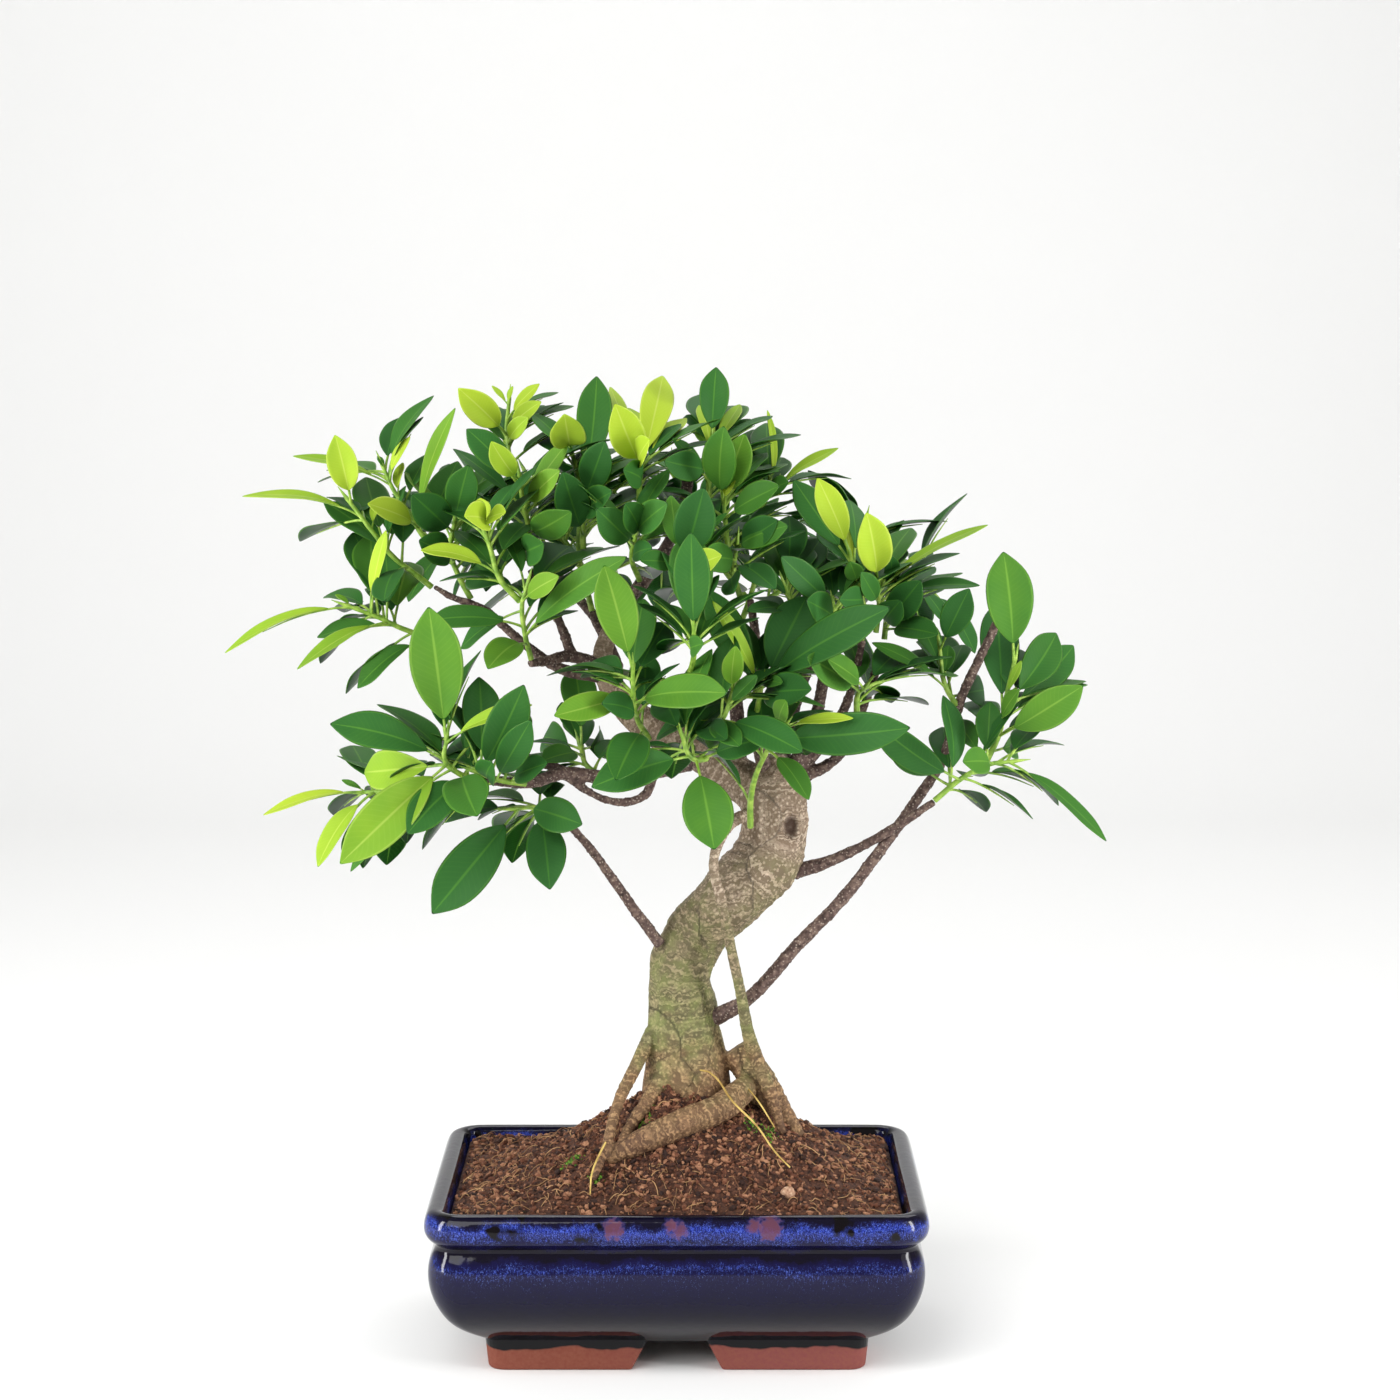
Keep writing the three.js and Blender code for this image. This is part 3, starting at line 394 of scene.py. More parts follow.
def one_foot(bm, side_x, side_y):
    """An L-shaped foot at one corner: its lower outline extruded up, with sloping ends."""
    inner_x, inner_y = FOOT_OUTER_X - FOOT_WALL, FOOT_OUTER_Y - FOOT_WALL
    lower = [(FRONT_GAP_BOTTOM, FOOT_OUTER_Y), (FOOT_OUTER_X, FOOT_OUTER_Y), (FOOT_OUTER_X, SIDE_GAP_BOTTOM),
             (inner_x, SIDE_GAP_BOTTOM), (inner_x, inner_y), (FRONT_GAP_BOTTOM, inner_y)]
    corners = [bm.verts.new(spot(side_x * x, side_y * y, 0)) for x, y in lower]
    base = bm.faces.new(corners)
    grown = bmesh.ops.extrude_face_region(bm, geom=[base])["geom"]
    for vertex in (g for g in grown if isinstance(g, bmesh.types.BMVert)):
        local = (vertex.co - MIDDLE) / MM
        x, y = abs(local.x), abs(local.y)
        x += FRONT_GAP_TOP - FRONT_GAP_BOTTOM if x <= FRONT_GAP_BOTTOM + SLACK else 0
        y += SIDE_GAP_TOP - SIDE_GAP_BOTTOM if y <= SIDE_GAP_BOTTOM + SLACK else 0
        x += FOOT_SPLAY if x > FOOT_OUTER_X - SLACK else 0
        y += FOOT_SPLAY if y > FOOT_OUTER_Y - SLACK else 0
        vertex.co = spot(side_x * x, side_y * y, FOOT_TOP)


def pot_feet():
    """Four bevelled feet in one mesh."""
    bm = bmesh.new()
    for side_x, side_y in [(1, 1), (-1, 1), (-1, -1), (1, -1)]:
        one_foot(bm, side_x, side_y)
    bmesh.ops.recalc_face_normals(bm, faces=bm.faces)
    upright = [e for e in bm.edges if e.calc_face_angle() > SHARP_FOLD and
               abs(e.verts[0].co.z - e.verts[1].co.z) > FOOT_TOP / 3 * MM]
    outer = [e for e in upright if abs(e.verts[0].co.x - MIDDLE.x) > (FOOT_OUTER_X - FOOT_WALL / 2) * MM and
             abs(e.verts[0].co.y - MIDDLE.y) > (FOOT_OUTER_Y - FOOT_WALL / 2) * MM]
    bmesh.ops.bevel(bm, geom=outer, offset=FOOT_CORNER_RADIUS * MM, offset_type="OFFSET",
                    affect="EDGES", segments=6, profile=0.5, material=-1)
    rims = [e for e in bm.edges if e.calc_face_angle() > SHARP_FOLD]
    bmesh.ops.bevel(bm, geom=rims, offset=FOOT_EDGE_RADIUS * MM, offset_type="OFFSET",
                    affect="EDGES", segments=3, profile=0.5, material=-1)
    return from_bmesh("pot_feet", bm, [])


def drain_drills():
    """Two upright cylinders, a little longer than the floor is thick."""
    bm = bmesh.new()
    for x in (-DRAIN_X, DRAIN_X):
        place = Matrix.Translation(spot(x, 0, 13))
        bmesh.ops.create_cone(bm, cap_ends=True, segments=48, radius1=DRAIN_RADIUS * MM,
                              radius2=DRAIN_RADIUS * MM, depth=16 * MM, matrix=place)
    return from_bmesh("drain_drills", bm, [])


def combined(body, tool, operation):
    """Joins or cuts two closed objects with an exact boolean, and clears the tool away."""
    cut = body.modifiers.new("combine", "BOOLEAN")
    cut.operation, cut.object, cut.solver = operation, tool, "EXACT"
    mesh = finished_mesh(body)
    bpy.data.objects.remove(tool)
    return mesh_object("pot_glazed", mesh, [])


# %% [markdown]
# ### The glaze
# The glaze is a thick cobalt reduction glaze over an iron-rich slip. In the kiln it runs: it is
# thin and nearly black on sharp edges, breaks into bright blue streaks below the lip and at the
# top of the belly, and pools to navy lower down. A few pink and rust blots sit on the lip, where
# iron spat through. All this follows height and place on the pot, so the nodes read object
# coordinates, moved so that zero is under the middle of the pot, in millimetres.

# %% Cobalt glaze over red stoneware
GLAZE_BLOTS = [(-25, 66, 4.6), (1, 65.5, 3.8), (-2, 67.5, 3.0), (37, 66.2, 5.4), (31, 67.2, 3.4)]


def cobalt_glaze():
    """Glossy cobalt glaze: a glass coat over streaked blue, bare red clay on the feet."""
    material, tree, output = new_material("cobalt_reduction_glaze")
    millimetres = in_millimetres(tree)
    axes = add(tree, "SeparateXYZ", {0: millimetres})
    height = axes.outputs["Z"]

    # The glaze ran, so every height wavers by a few millimetres from place to place.
    drift = add(tree, "TexNoise", {"Vector": millimetres, "Scale": 0.055, "Detail": 3.0})
    fine_drift = add(tree, "TexNoise", {"Vector": millimetres, "Scale": 0.4, "Detail": 2.0})
    wavering = add(tree, "Math", {0: drift, 1: 9.0, 2: -4.5}, operation="MULTIPLY_ADD")
    wobble = add(tree, "Math", {0: fine_drift, 1: 3.0, 2: wavering}, operation="MULTIPLY_ADD")
    run_height = add(tree, "Math", {0: height, 1: wobble}, operation="ADD")

    # How much bright blue shows at each height: most on the lip and the top of the belly.
    bands = add(tree, "MapRange", {"Value": run_height, "From Min": 0.0, "From Max": 72.0})
    amount = add(tree, "ValToRGB", {0: bands}, stops=[
        (0.0, 0.03), (0.3, 0.08), (0.52, 0.24), (0.64, 0.42), (0.71, 0.66), (0.735, 0.42),
        (0.765, 0.04), (0.82, 0.06), (0.86, 0.62), (0.94, 0.85), (0.985, 0.35), (1.0, 0.02)])

    # Streaks under a millimetre wide run down the wall; specks break them up.
    squashed = add(tree, "VectorMath", {0: millimetres, 1: (1.0, 1.0, 0.42)}, operation="MULTIPLY")
    streaks = add(tree, "TexNoise",
                  {"Vector": squashed, "Scale": 1.5, "Detail": 5.0, "Roughness": 0.75})
    specks = add(tree, "TexNoise",
                 {"Vector": millimetres, "Scale": 3.0, "Detail": 3.0, "Roughness": 0.85})
    grain = add(tree, "Math", {0: streaks, 1: specks}, operation="MULTIPLY")
    threshold = add(tree, "MapRange", {
        "Value": amount, "From Min": 0.0, "From Max": 1.0, "To Min": 0.46, "To Max": 0.13})
    over = add(tree, "Math", {0: grain, 1: threshold}, operation="SUBTRACT")
    blue_share = add(tree, "MapRange", {
        "Value": over, "From Min": 0.0, "From Max": 0.14, "To Min": 0.0, "To Max": 1.0})
    depth = add(tree, "MapRange", {"Value": run_height, "From Min": 12.0, "From Max": 52.0})
    pooled = add(tree, "ValToRGB", {0: depth}, stops=[
        (0.0, "#050407"), (0.4, "#0A0718"), (1.0, "#0F0D34")])
    bright = add(tree, "ValToRGB", {0: specks}, stops=[
        (0.35, "#141C74"), (0.5, "#2136B0"), (0.68, "#6C84C8")])
    blue = add(tree, "Mix", {MIX_FACTOR: blue_share, MIX_A: pooled, MIX_B: bright}, data_type="RGBA")

    # The crest of the lip, where the glaze is thin, turns black-brown. The dark band in the waist groove
    # under the lip is painted shade.
    edges = add(tree, "ValToRGB", {0: bands}, stops=[
        (0.735, 0.0), (0.765, 0.85), (0.8, 0.85), (0.83, 0.0), (0.955, 0.0), (0.985, 0.75)])
    patches = add(tree, "TexNoise", {"Vector": millimetres, "Scale": 0.07, "Detail": 2.0})
    bare = add(tree, "MapRange", {"Value": patches, "From Min": 0.56, "From Max": 0.62})
    high = add(tree, "MapRange", {"Value": height, "From Min": 60.0, "From Max": 62.0})
    bare_lip = add(tree, "Math", {0: bare, 1: high}, operation="MULTIPLY")
    # Near black where the glaze is thin on the lip's crest or bare in patches, and painted shade in the
    # groove.
    thin = add(tree, "Math", {0: edges, 1: bare_lip}, operation="MAXIMUM")
    glazed = add(tree, "Mix", {MIX_FACTOR: thin, MIX_A: blue.outputs[MIX_OUT],
                               MIX_B: linear("#090508")}, data_type="RGBA").outputs[MIX_OUT]

    # Pink blots with rust cores where iron spat through the lip.
    ragged = add(tree, "TexNoise", {"Vector": millimetres, "Scale": 0.5, "Detail": 4.0})
    for x, z, radius in GLAZE_BLOTS:
        centre = add(tree, "VectorMath", {0: millimetres, 1: (x, -73.0, z)}, operation="DISTANCE")
        reach = add(tree, "Math", {0: ragged, 1: -6.0, 2: centre.outputs["Value"]},
                    operation="MULTIPLY_ADD")
        blot = add(tree, "MapRange", {
            "Value": reach, "From Min": radius - 2.0, "From Max": radius - 4.4,
            "To Min": 0.0, "To Max": 0.85})
        core = add(tree, "ValToRGB", {0: blot}, stops=[
            (0.3, "#2A2E66"), (0.6, "#5A4268"), (0.9, "#5E3640")])
        glazed = add(tree, "Mix", {MIX_FACTOR: blot, MIX_A: glazed,
                                   MIX_B: core}, data_type="RGBA").outputs[MIX_OUT]

    # Bare clay on the feet: the glaze stops in a wavy line a third of the way down each foot.
    clay_grain = add(tree, "TexNoise", {"Vector": millimetres, "Scale": 0.8, "Detail": 6.0})
    clay_side = add(tree, "MapRange", {"Value": axes.outputs["X"], "From Min": -40.0, "From Max": 40.0})
    clay_tint = add(tree, "Mix", {MIX_FACTOR: clay_side, MIX_A: linear("#6E3226"),
                                  MIX_B: linear("#76393F")}, data_type="RGBA")
    clay = add(tree, "Mix", {MIX_FACTOR: clay_grain, MIX_A: clay_tint.outputs[MIX_OUT],
                             MIX_B: linear("#85503F")}, data_type="RGBA")
    glaze_line = add(tree, "Math", {0: drift, 1: 7.0, 2: 6.2}, operation="MULTIPLY_ADD")
    below = add(tree, "Math", {0: glaze_line, 1: height}, operation="SUBTRACT")
    is_clay = add(tree, "MapRange", {"Value": below, "From Min": -0.4, "From Max": 0.4})
    colour = add(tree, "Mix", {MIX_FACTOR: is_clay, MIX_A: glazed,
                               MIX_B: clay.outputs[MIX_OUT]}, data_type="RGBA")
    roughness = add(tree, "MapRange", {"Value": is_clay, "To Min": 0.07, "To Max": 0.85})

    # A thick glaze is a little wavy, like orange peel about 4 mm across; clay is grainy.
    peel = add(tree, "TexNoise", {"Vector": millimetres, "Scale": 0.25, "Detail": 2.0})
    relief = add(tree, "Mix", {MIX_FACTOR: is_clay, MIX_A: peel.outputs["Color"],
                               MIX_B: clay_grain.outputs["Color"]}, data_type="RGBA")
    bump = add(tree, "Bump", {"Height": relief.outputs[MIX_OUT], "Strength": 0.25, "Distance": 0.4 * MM})
    shader = add(tree, "BsdfPrincipled", {
        "Base Color": colour.outputs[MIX_OUT], "Roughness": roughness, "IOR": 1.52,
        "Specular IOR Level": 0.24, "Normal": bump})
    tree.links.new(shader.outputs["BSDF"], output.inputs["Surface"])
    return material


# %% Put the pot together
pot = combined(pot_wall(), pot_feet(), "UNION")
pot = combined(pot, drain_drills(), "DIFFERENCE")
pot.data.materials.append(cobalt_glaze())
pot.data.shade_smooth()
pot.data.set_sharp_from_angle(angle=math.radians(40))
as_piece(pot, "glaze", "pot")

# %% [markdown]
# ## The soil
# The plant stands in peat and shredded coconut fibre, pressed level at the rim and heaped round
# the trunk. The body is a fine grid laid over the heap and roughened by noise at three sizes,
# then closed down to the pot's floor. Loose crumbs and fibres lie on it, because noise alone
# never looks like grains. A crumb is repeated thousands of times, so each has only 20 faces.

# %% The heap
SOIL_HALF_LENGTH, SOIL_HALF_DEPTH, SOIL_CORNER = 91.2, 64.2, 6
SOIL_EDGE = 67.6
SOIL_COLUMNS, SOIL_ROWS = 176, 124
# Rings down the soil's side, each set in from the rim at a height over the table.
SOIL_SIDES = [(1, 60), (2.5, 44), (7, 31), (14, 22.5), (21, 18.4)]
# The heap is one broad mound, with a small one pressed round the trunk's foot.
FOOT_HEIGHT, FOOT_X, FOOT_Y, FOOT_HALF_LENGTH, FOOT_HALF_DEPTH = 9, -2, -12, 17, 14
MOUND_HEIGHT, MOUND_X, MOUND_Y, MOUND_HALF_LENGTH, MOUND_HALF_DEPTH = 37, 8, -2, 62, 46


def heap_height(x, y):
    """Height of the smooth heap over the table, in millimetres."""
    edge = max(abs(x) / SOIL_HALF_LENGTH, abs(y) / SOIL_HALF_DEPTH)
    away = ((x - MOUND_X) / MOUND_HALF_LENGTH) ** 2 + ((y - MOUND_Y) / MOUND_HALF_DEPTH) ** 2
    heap = SOIL_EDGE + MOUND_HEIGHT * math.exp(-away) * (1 - min(edge, 1) ** 6)
    pressed = ((x - FOOT_X) / FOOT_HALF_LENGTH) ** 2 + ((y - FOOT_Y) / FOOT_HALF_DEPTH) ** 2
    return heap + FOOT_HEIGHT * math.exp(-pressed)


def rough_height(x, y):
    """The heap with clods, crumbs and grit, lower where it meets the pot."""
    flat = Vector((x, y, 0))
    clods = 1.5 * noise.noise(flat / 11) + 1.2 * noise.noise(flat / 5.2)
    crumbs = 1.0 * noise.noise(flat / 2.3) + 0.6 * noise.noise(flat / 1.2)
    edge = max(abs(x) / SOIL_HALF_LENGTH, abs(y) / SOIL_HALF_DEPTH)
    return heap_height(x, y) + (clods + crumbs) * (1 - 0.6 * edge ** 8) - 1.6 * max(0, edge - 0.94) / 0.06


def rounded(u, v):
    """A point of the square from -1 to 1, moved into the soil's rounded rectangle."""
    x, y = u * SOIL_HALF_LENGTH, v * SOIL_HALF_DEPTH
    out_x = abs(x) - (SOIL_HALF_LENGTH - SOIL_CORNER)
    out_y = abs(y) - (SOIL_HALF_DEPTH - SOIL_CORNER)
    if out_x > 0 and out_y > 0:
        ease = max(out_x, out_y) / math.hypot(out_x, out_y)
        x -= math.copysign(out_x * (1 - ease), x)
        y -= math.copysign(out_y * (1 - ease), y)
    return x, y


def soil_body(material):
    """A closed body: the rough top, sides that follow the pot, and a flat underside."""
    bm = bmesh.new()
    bmesh.ops.create_grid(bm, x_segments=SOIL_COLUMNS, y_segments=SOIL_ROWS, size=1)
    for vertex in bm.verts:
        x, y = rounded(vertex.co.x, vertex.co.y)
        vertex.co = spot(x, y, rough_height(x, y))
    rim = [edge for edge in bm.edges if edge.is_boundary]
    rim_places = {vertex: (vertex.co - MIDDLE) / MM for edge in rim for vertex in edge.verts}
    for inset, height in SOIL_SIDES:
        grown = bmesh.ops.extrude_edge_only(bm, edges=rim)["geom"]
        fresh = {g for g in grown if isinstance(g, bmesh.types.BMVert)}
        for vertex in fresh:
            above = next(e.other_vert(vertex) for e in vertex.link_edges if e.other_vert(vertex) not in fresh)
            top = rim_places[vertex] = rim_places[above]
            shrunk_x, shrunk_y = 1 - inset / SOIL_HALF_LENGTH, 1 - inset / SOIL_HALF_DEPTH
            vertex.co = spot(top.x * shrunk_x, top.y * shrunk_y, height)
        rim = [g for g in grown if isinstance(g, bmesh.types.BMEdge) and set(g.verts) <= fresh]
    bmesh.ops.contextual_create(bm, geom=rim)
    bmesh.ops.recalc_face_normals(bm, faces=bm.faces)
    return from_bmesh("soil", bm, [material])


# %% Peat, crumbs and coir


def peat_material(name, dark, middle, light, use_tint):
    """Moist peat: matt, red-brown, darker in the hollows, which is partly the peat's own grain colour and
    partly painted shade. Crumbs take their own tint.
    """
    material, tree, output = new_material(name)
    millimetres = in_millimetres(tree, centred=False)
    grains = add(tree, "TexNoise", {
        "Vector": millimetres, "Scale": 0.75, "Detail": 6.0, "Roughness": 0.7})
    share = grains.outputs["Fac"]
    if use_tint:
        tint = add(tree, "Attribute", attribute_name="tint").outputs["Fac"]
        mixed = add(tree, "Math", {0: share, 1: 0.5, 2: tint}, operation="MULTIPLY_ADD")
        share = mixed.outputs[0]
    # The dark end of the ramp falls in the bump's hollows: grain colour with painted shade.
    colour = add(tree, "ValToRGB", {0: share}, stops=[(0.3, dark), (0.52, middle), (0.75, light)])
    bump = add(tree, "Bump", {"Height": grains, "Strength": 1.0, "Distance": 0.8 * MM})
    peat = add(tree, "BsdfPrincipled", {
        "Base Color": colour, "Roughness": 0.92, "Normal": bump})
    tree.links.new(peat.outputs["BSDF"], output.inputs["Surface"])
    return material


CRUMBS_IN_A_BATCH, CRUMB_BATCHES, FIBRES = 100, 98, 620
CRUMB_SMALLEST, CRUMB_SPREAD = 0.5, 1.5
FRONT_SHARE = 0.35


def crumb_batch(dice):
    """A hundred loose crumbs: twenty-faced lumps, each turned, squashed and tinted by the dice."""
    bm = bmesh.new()
    tint_layer = bm.verts.layers.float.new("tint")
    for _ in range(CRUMBS_IN_A_BATCH):
        u, v = dice.uniform(-0.985, 0.985), dice.uniform(-0.98, 0.98)
        # The front slope faces the eye, so it gets more crumbs than an even scatter gives it.
        if dice.random() < FRONT_SHARE:
            u, v = dice.gauss(0.05, 0.35), dice.gauss(-0.5, 0.25)
        x, y = rounded(min(max(u, -0.985), 0.985), min(max(v, -0.98), 0.98))
        size = CRUMB_SMALLEST + CRUMB_SPREAD * dice.random() ** 2.6
        turn = Matrix.Rotation(dice.uniform(0, math.pi), 4, Vector((dice.random(), dice.random(), 0.3)))
        shape = Matrix.Diagonal((size, size * dice.uniform(0.45, 0.8), size * dice.uniform(0.3, 0.6), 1))
        place = Matrix.Translation(spot(x, y, rough_height(x, y) + 0.25 * size)) @ turn @ shape
        tint = dice.random() * 0.5
        lump = bmesh.ops.create_icosphere(bm, subdivisions=1, radius=MM, matrix=place)["verts"]
        for vertex in lump:
            vertex[tint_layer] = tint
    batch = bpy.data.meshes.new("crumb_batch")
    bm.to_mesh(batch)
    bm.free()
    return batch


def crumbs_object(material):
    """All the crumbs. Small batches are gathered, because adding to a big mesh is slow."""
    dice = random.Random(11)
    bm = bmesh.new()
    bm.verts.layers.float.new("tint")
    for _ in range(CRUMB_BATCHES):
        bm.from_mesh(crumb_batch(dice))
    made = from_bmesh("soil_crumbs", bm, [material])
    made.data.shade_flat()
    return made


def lying_line(dice, x, y, heading, length, radius, lift):
    """A thin line that lies over the heap and curls a little, as (point, radius) pairs."""
    line = []
    steps = 5
    for step in range(steps):
        hump = lift * math.sin(math.pi * step / (steps - 1))
        line.append(((x, y, rough_height(x, y) + 0.3 + hump), radius))
        heading += dice.uniform(-0.6, 0.6)
        x = min(max(x + length / steps * math.cos(heading), -SOIL_HALF_LENGTH + 1.5), SOIL_HALF_LENGTH - 1.5)
        y = min(max(y + length / steps * math.sin(heading), -SOIL_HALF_DEPTH + 1.5), SOIL_HALF_DEPTH - 1.5)
    return line


def fibre_material(name, dark, light):
    """Dry plant fibre: matt, straw to brown along its length."""
    return grained_material(name, 120.0, 2.0, [(0.35, dark), (0.65, light)], 0.8)


def fibres_object():
    """Coconut fibres scattered over the soil."""
    dice = random.Random(5)
    lines = []
    for _ in range(FIBRES):
        x, y = rounded(dice.uniform(-0.97, 0.97), dice.uniform(-0.97, 0.97))
        lines.append(lying_line(dice, x, y, dice.uniform(0, 6.3), dice.uniform(4, 15),
                                dice.uniform(0.09, 0.2), dice.uniform(0, 1.6)))
    mesh = curve_mesh("coir_fibres", lines, sides=0)
    mesh.materials.clear()
    return mesh_object("coir_fibres", mesh, [fibre_material("dry_coir_fibre", "#6B4326", "#C39A6A")])


# %% [markdown]
# A few thin aerial rootlets hang from the trunk's foot and dive into the heap. They are straw
# yellow where they are dry. The pebble is a small tan stone with a broken face.

# %% Lay the soil, the rootlets and the pebble
ROOTLETS = [
    [(9.4, -19, 117.4, 0.35), (13.5, -21, 116.8, 0.4), (22.9, -32, 107.3, 0.45), (32.1, -40, 99.8, 0.4),
     (40.1, -50, 90.8, 0.35), (45.6, -54, 86, 0.3)],
    [(-29, -38, 92, 0.4), (-31.2, -42, 88.5, 0.45), (-34.2, -50, 82.5, 0.4), (-34.7, -58, 76, 0.3)],
    [(26, -14, 112, 0.3), (33, -24, 106, 0.35), (40, -30, 96, 0.3)],
]


def pebble_object():
    """A ball broken by noise, with the grain of sandstone."""
    stone = grained_material("tan_sandstone", 900.0, 5.0, [
        (0.3, "#7E5A42"), (0.5, "#A98368"), (0.7, "#C7A98D")], 0.85, (0.7, 0.3 * MM))
    low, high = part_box("pebble")
    middle, half = (low + high) / 2, (high - low) / 2
    bm = bmesh.new()
    bmesh.ops.create_icosphere(bm, subdivisions=4, radius=1)
    for vertex in bm.verts:
        broken = 0.9 + 0.12 * noise.noise(vertex.co * 1.3) - 0.1 * abs(noise.noise(vertex.co * 2.6))
        vertex.co = middle + Vector(vertex.co[axis] * half[axis] * broken for axis in range(3))
    return from_bmesh("pebble", bm, [stone])


soil = soil_body(peat_material("moist_peat", "#1E0F09", "#4C2C1C", "#7A5038", False))
as_piece(soil, "soil", "soil")
crumbs = crumbs_object(peat_material("loose_peat_crumbs", "#2A150D", "#6B3E28", "#AC7C5C", True))
as_piece(crumbs, "soil")
as_piece(fibres_object(), "soil")
rootlets = curve_mesh("rootlets", [[(p[:3], p[3]) for p in line] for line in ROOTLETS], sides=1)
rootlets.materials.clear()
as_piece(mesh_object("rootlets", rootlets, [fibre_material("dry_rootlet", "#9A7B3A", "#D8BC6A")]), "bark")
as_piece(pebble_object(), "stone", "pebble")

# %% [markdown]
# A little moss grows on the soil where water runs off the trunk: tufts of tiny green grains.

# %% Moss tufts
MOSS_TUFTS = [(-43, -28, 5), (-33, -42, 4), (38, -22, 5), (30, -22, 4), (-14, -22, 5)]
MOSS_GRAINS = 110


def moss_object():
    """Soft green grains, thickest in the middle of each tuft."""
    moss = grained_material("soft_green_moss", 700.0, 3.0, [
        (0.3, "#2C4A12"), (0.5, "#4F7A1E"), (0.7, "#86AE3C")], 0.95)
    dice = random.Random(23)
    bm = bmesh.new()
    for middle_x, middle_y, spread in MOSS_TUFTS:
        for _ in range(MOSS_GRAINS):
            x, y = dice.gauss(middle_x, spread * 0.36), dice.gauss(middle_y, spread * 0.36)
            place = Matrix.Translation(spot(x, y, rough_height(x, y) + dice.uniform(-0.1, 0.7)))
            bmesh.ops.create_icosphere(bm, subdivisions=1, radius=dice.uniform(0.25, 0.6) * MM, matrix=place)
    return from_bmesh("moss", bm, [moss])


as_piece(moss_object(), "leaf")

# %% The drainage screens keep their solid shape


def screen_plastic():
    """Moulded polyethylene mesh: near black, satin, with a faint moulded grain."""
    return grained_material("moulded_polyethylene_mesh", 1500.0, 3.0, [
        (0.3, "#15181B"), (0.7, "#2A2F33")], 0.45)


SCREEN_PLASTIC = screen_plastic()
for name in ("drain_screen_left", "drain_screen_right"):
    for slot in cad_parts[name].material_slots:
        slot.material = SCREEN_PLASTIC

# %% [markdown]
# ## Trunk, roots and branches
# The trunk was bent while it was young. Its bark is thin and grey-green, wrinkled in rings where
# it bent, and dotted with pale pores. Each limb is a tapered tube, but real limbs flow into each
# other. So the tubes are made as curves, melted into one skin by a voxel remesh, and the skin is
# then pushed in and out by noise that follows the limb: rings across it and pores on it.

# %% The wood's lines
# Every limb is a list of points: x, y, z and radius in millimetres.
TRUNK_LIMBS = [
    [(5, 0, 84, 23), (4, 0, 100, 20), (3.5, 0, 117, 17.6), (2, 0, 140, 14.6), (1, 0, 153, 13.2),
     (5, 0, 166, 13.3), (15, 0, 179, 13.6), (27, 0, 191, 14.6), (36, 0, 201, 15), (40, 2, 213, 14.2),
     (40, 2, 227, 14.2), (40, 2, 238, 12), (39, 2, 243, 7)],
    [(38, 4, 226, 10), (24, 6, 236, 9), (9, 8, 246, 8.2), (-6, 10, 253, 7.4), (-19, 12, 262, 6.4),
     (-28, 14, 274, 5.4), (-31, 16, 285, 4.4), (-29, 18, 294, 3.4)],
    [(-10, -6, 131, 3.4), (-18, -14, 116, 2.8), (-24, -22, 105, 2.4), (-29, -36, 89, 2), (-33, -44, 80, 1.3)],
    [(29, -12, 109, 5.4), (18, -24, 103, 6.1), (2, -31, 98, 5.9), (-13, -34, 92, 5.3), (-27, -34, 85, 3.4)],
    [(24, -4, 123, 6.6), (34, -6, 109, 7.4), (42, -8, 98, 5.8), (50, -10, 88, 3)],
    [(34, -2, 221, 3), (25, -10, 221, 2.6), (18, -16, 214, 2.2), (15, -18, 203, 2.1), (18, -19, 189, 2.2),
     (22, -19, 169, 2.1), (26, -17, 150, 2.3), (29, -14, 133, 2.7), (33, -10, 117, 3.4), (34, -8, 103, 4)],
    [(30, -9, 128, 2.4), (36, -14, 113, 3), (40, -17, 102, 2.6), (43, -20, 93, 1.6)],
    [(-6, -10, 112, 4), (-12, -18, 104, 3.4), (-19, -26, 96, 2.4), (-24, -36, 89, 1.4)],
]

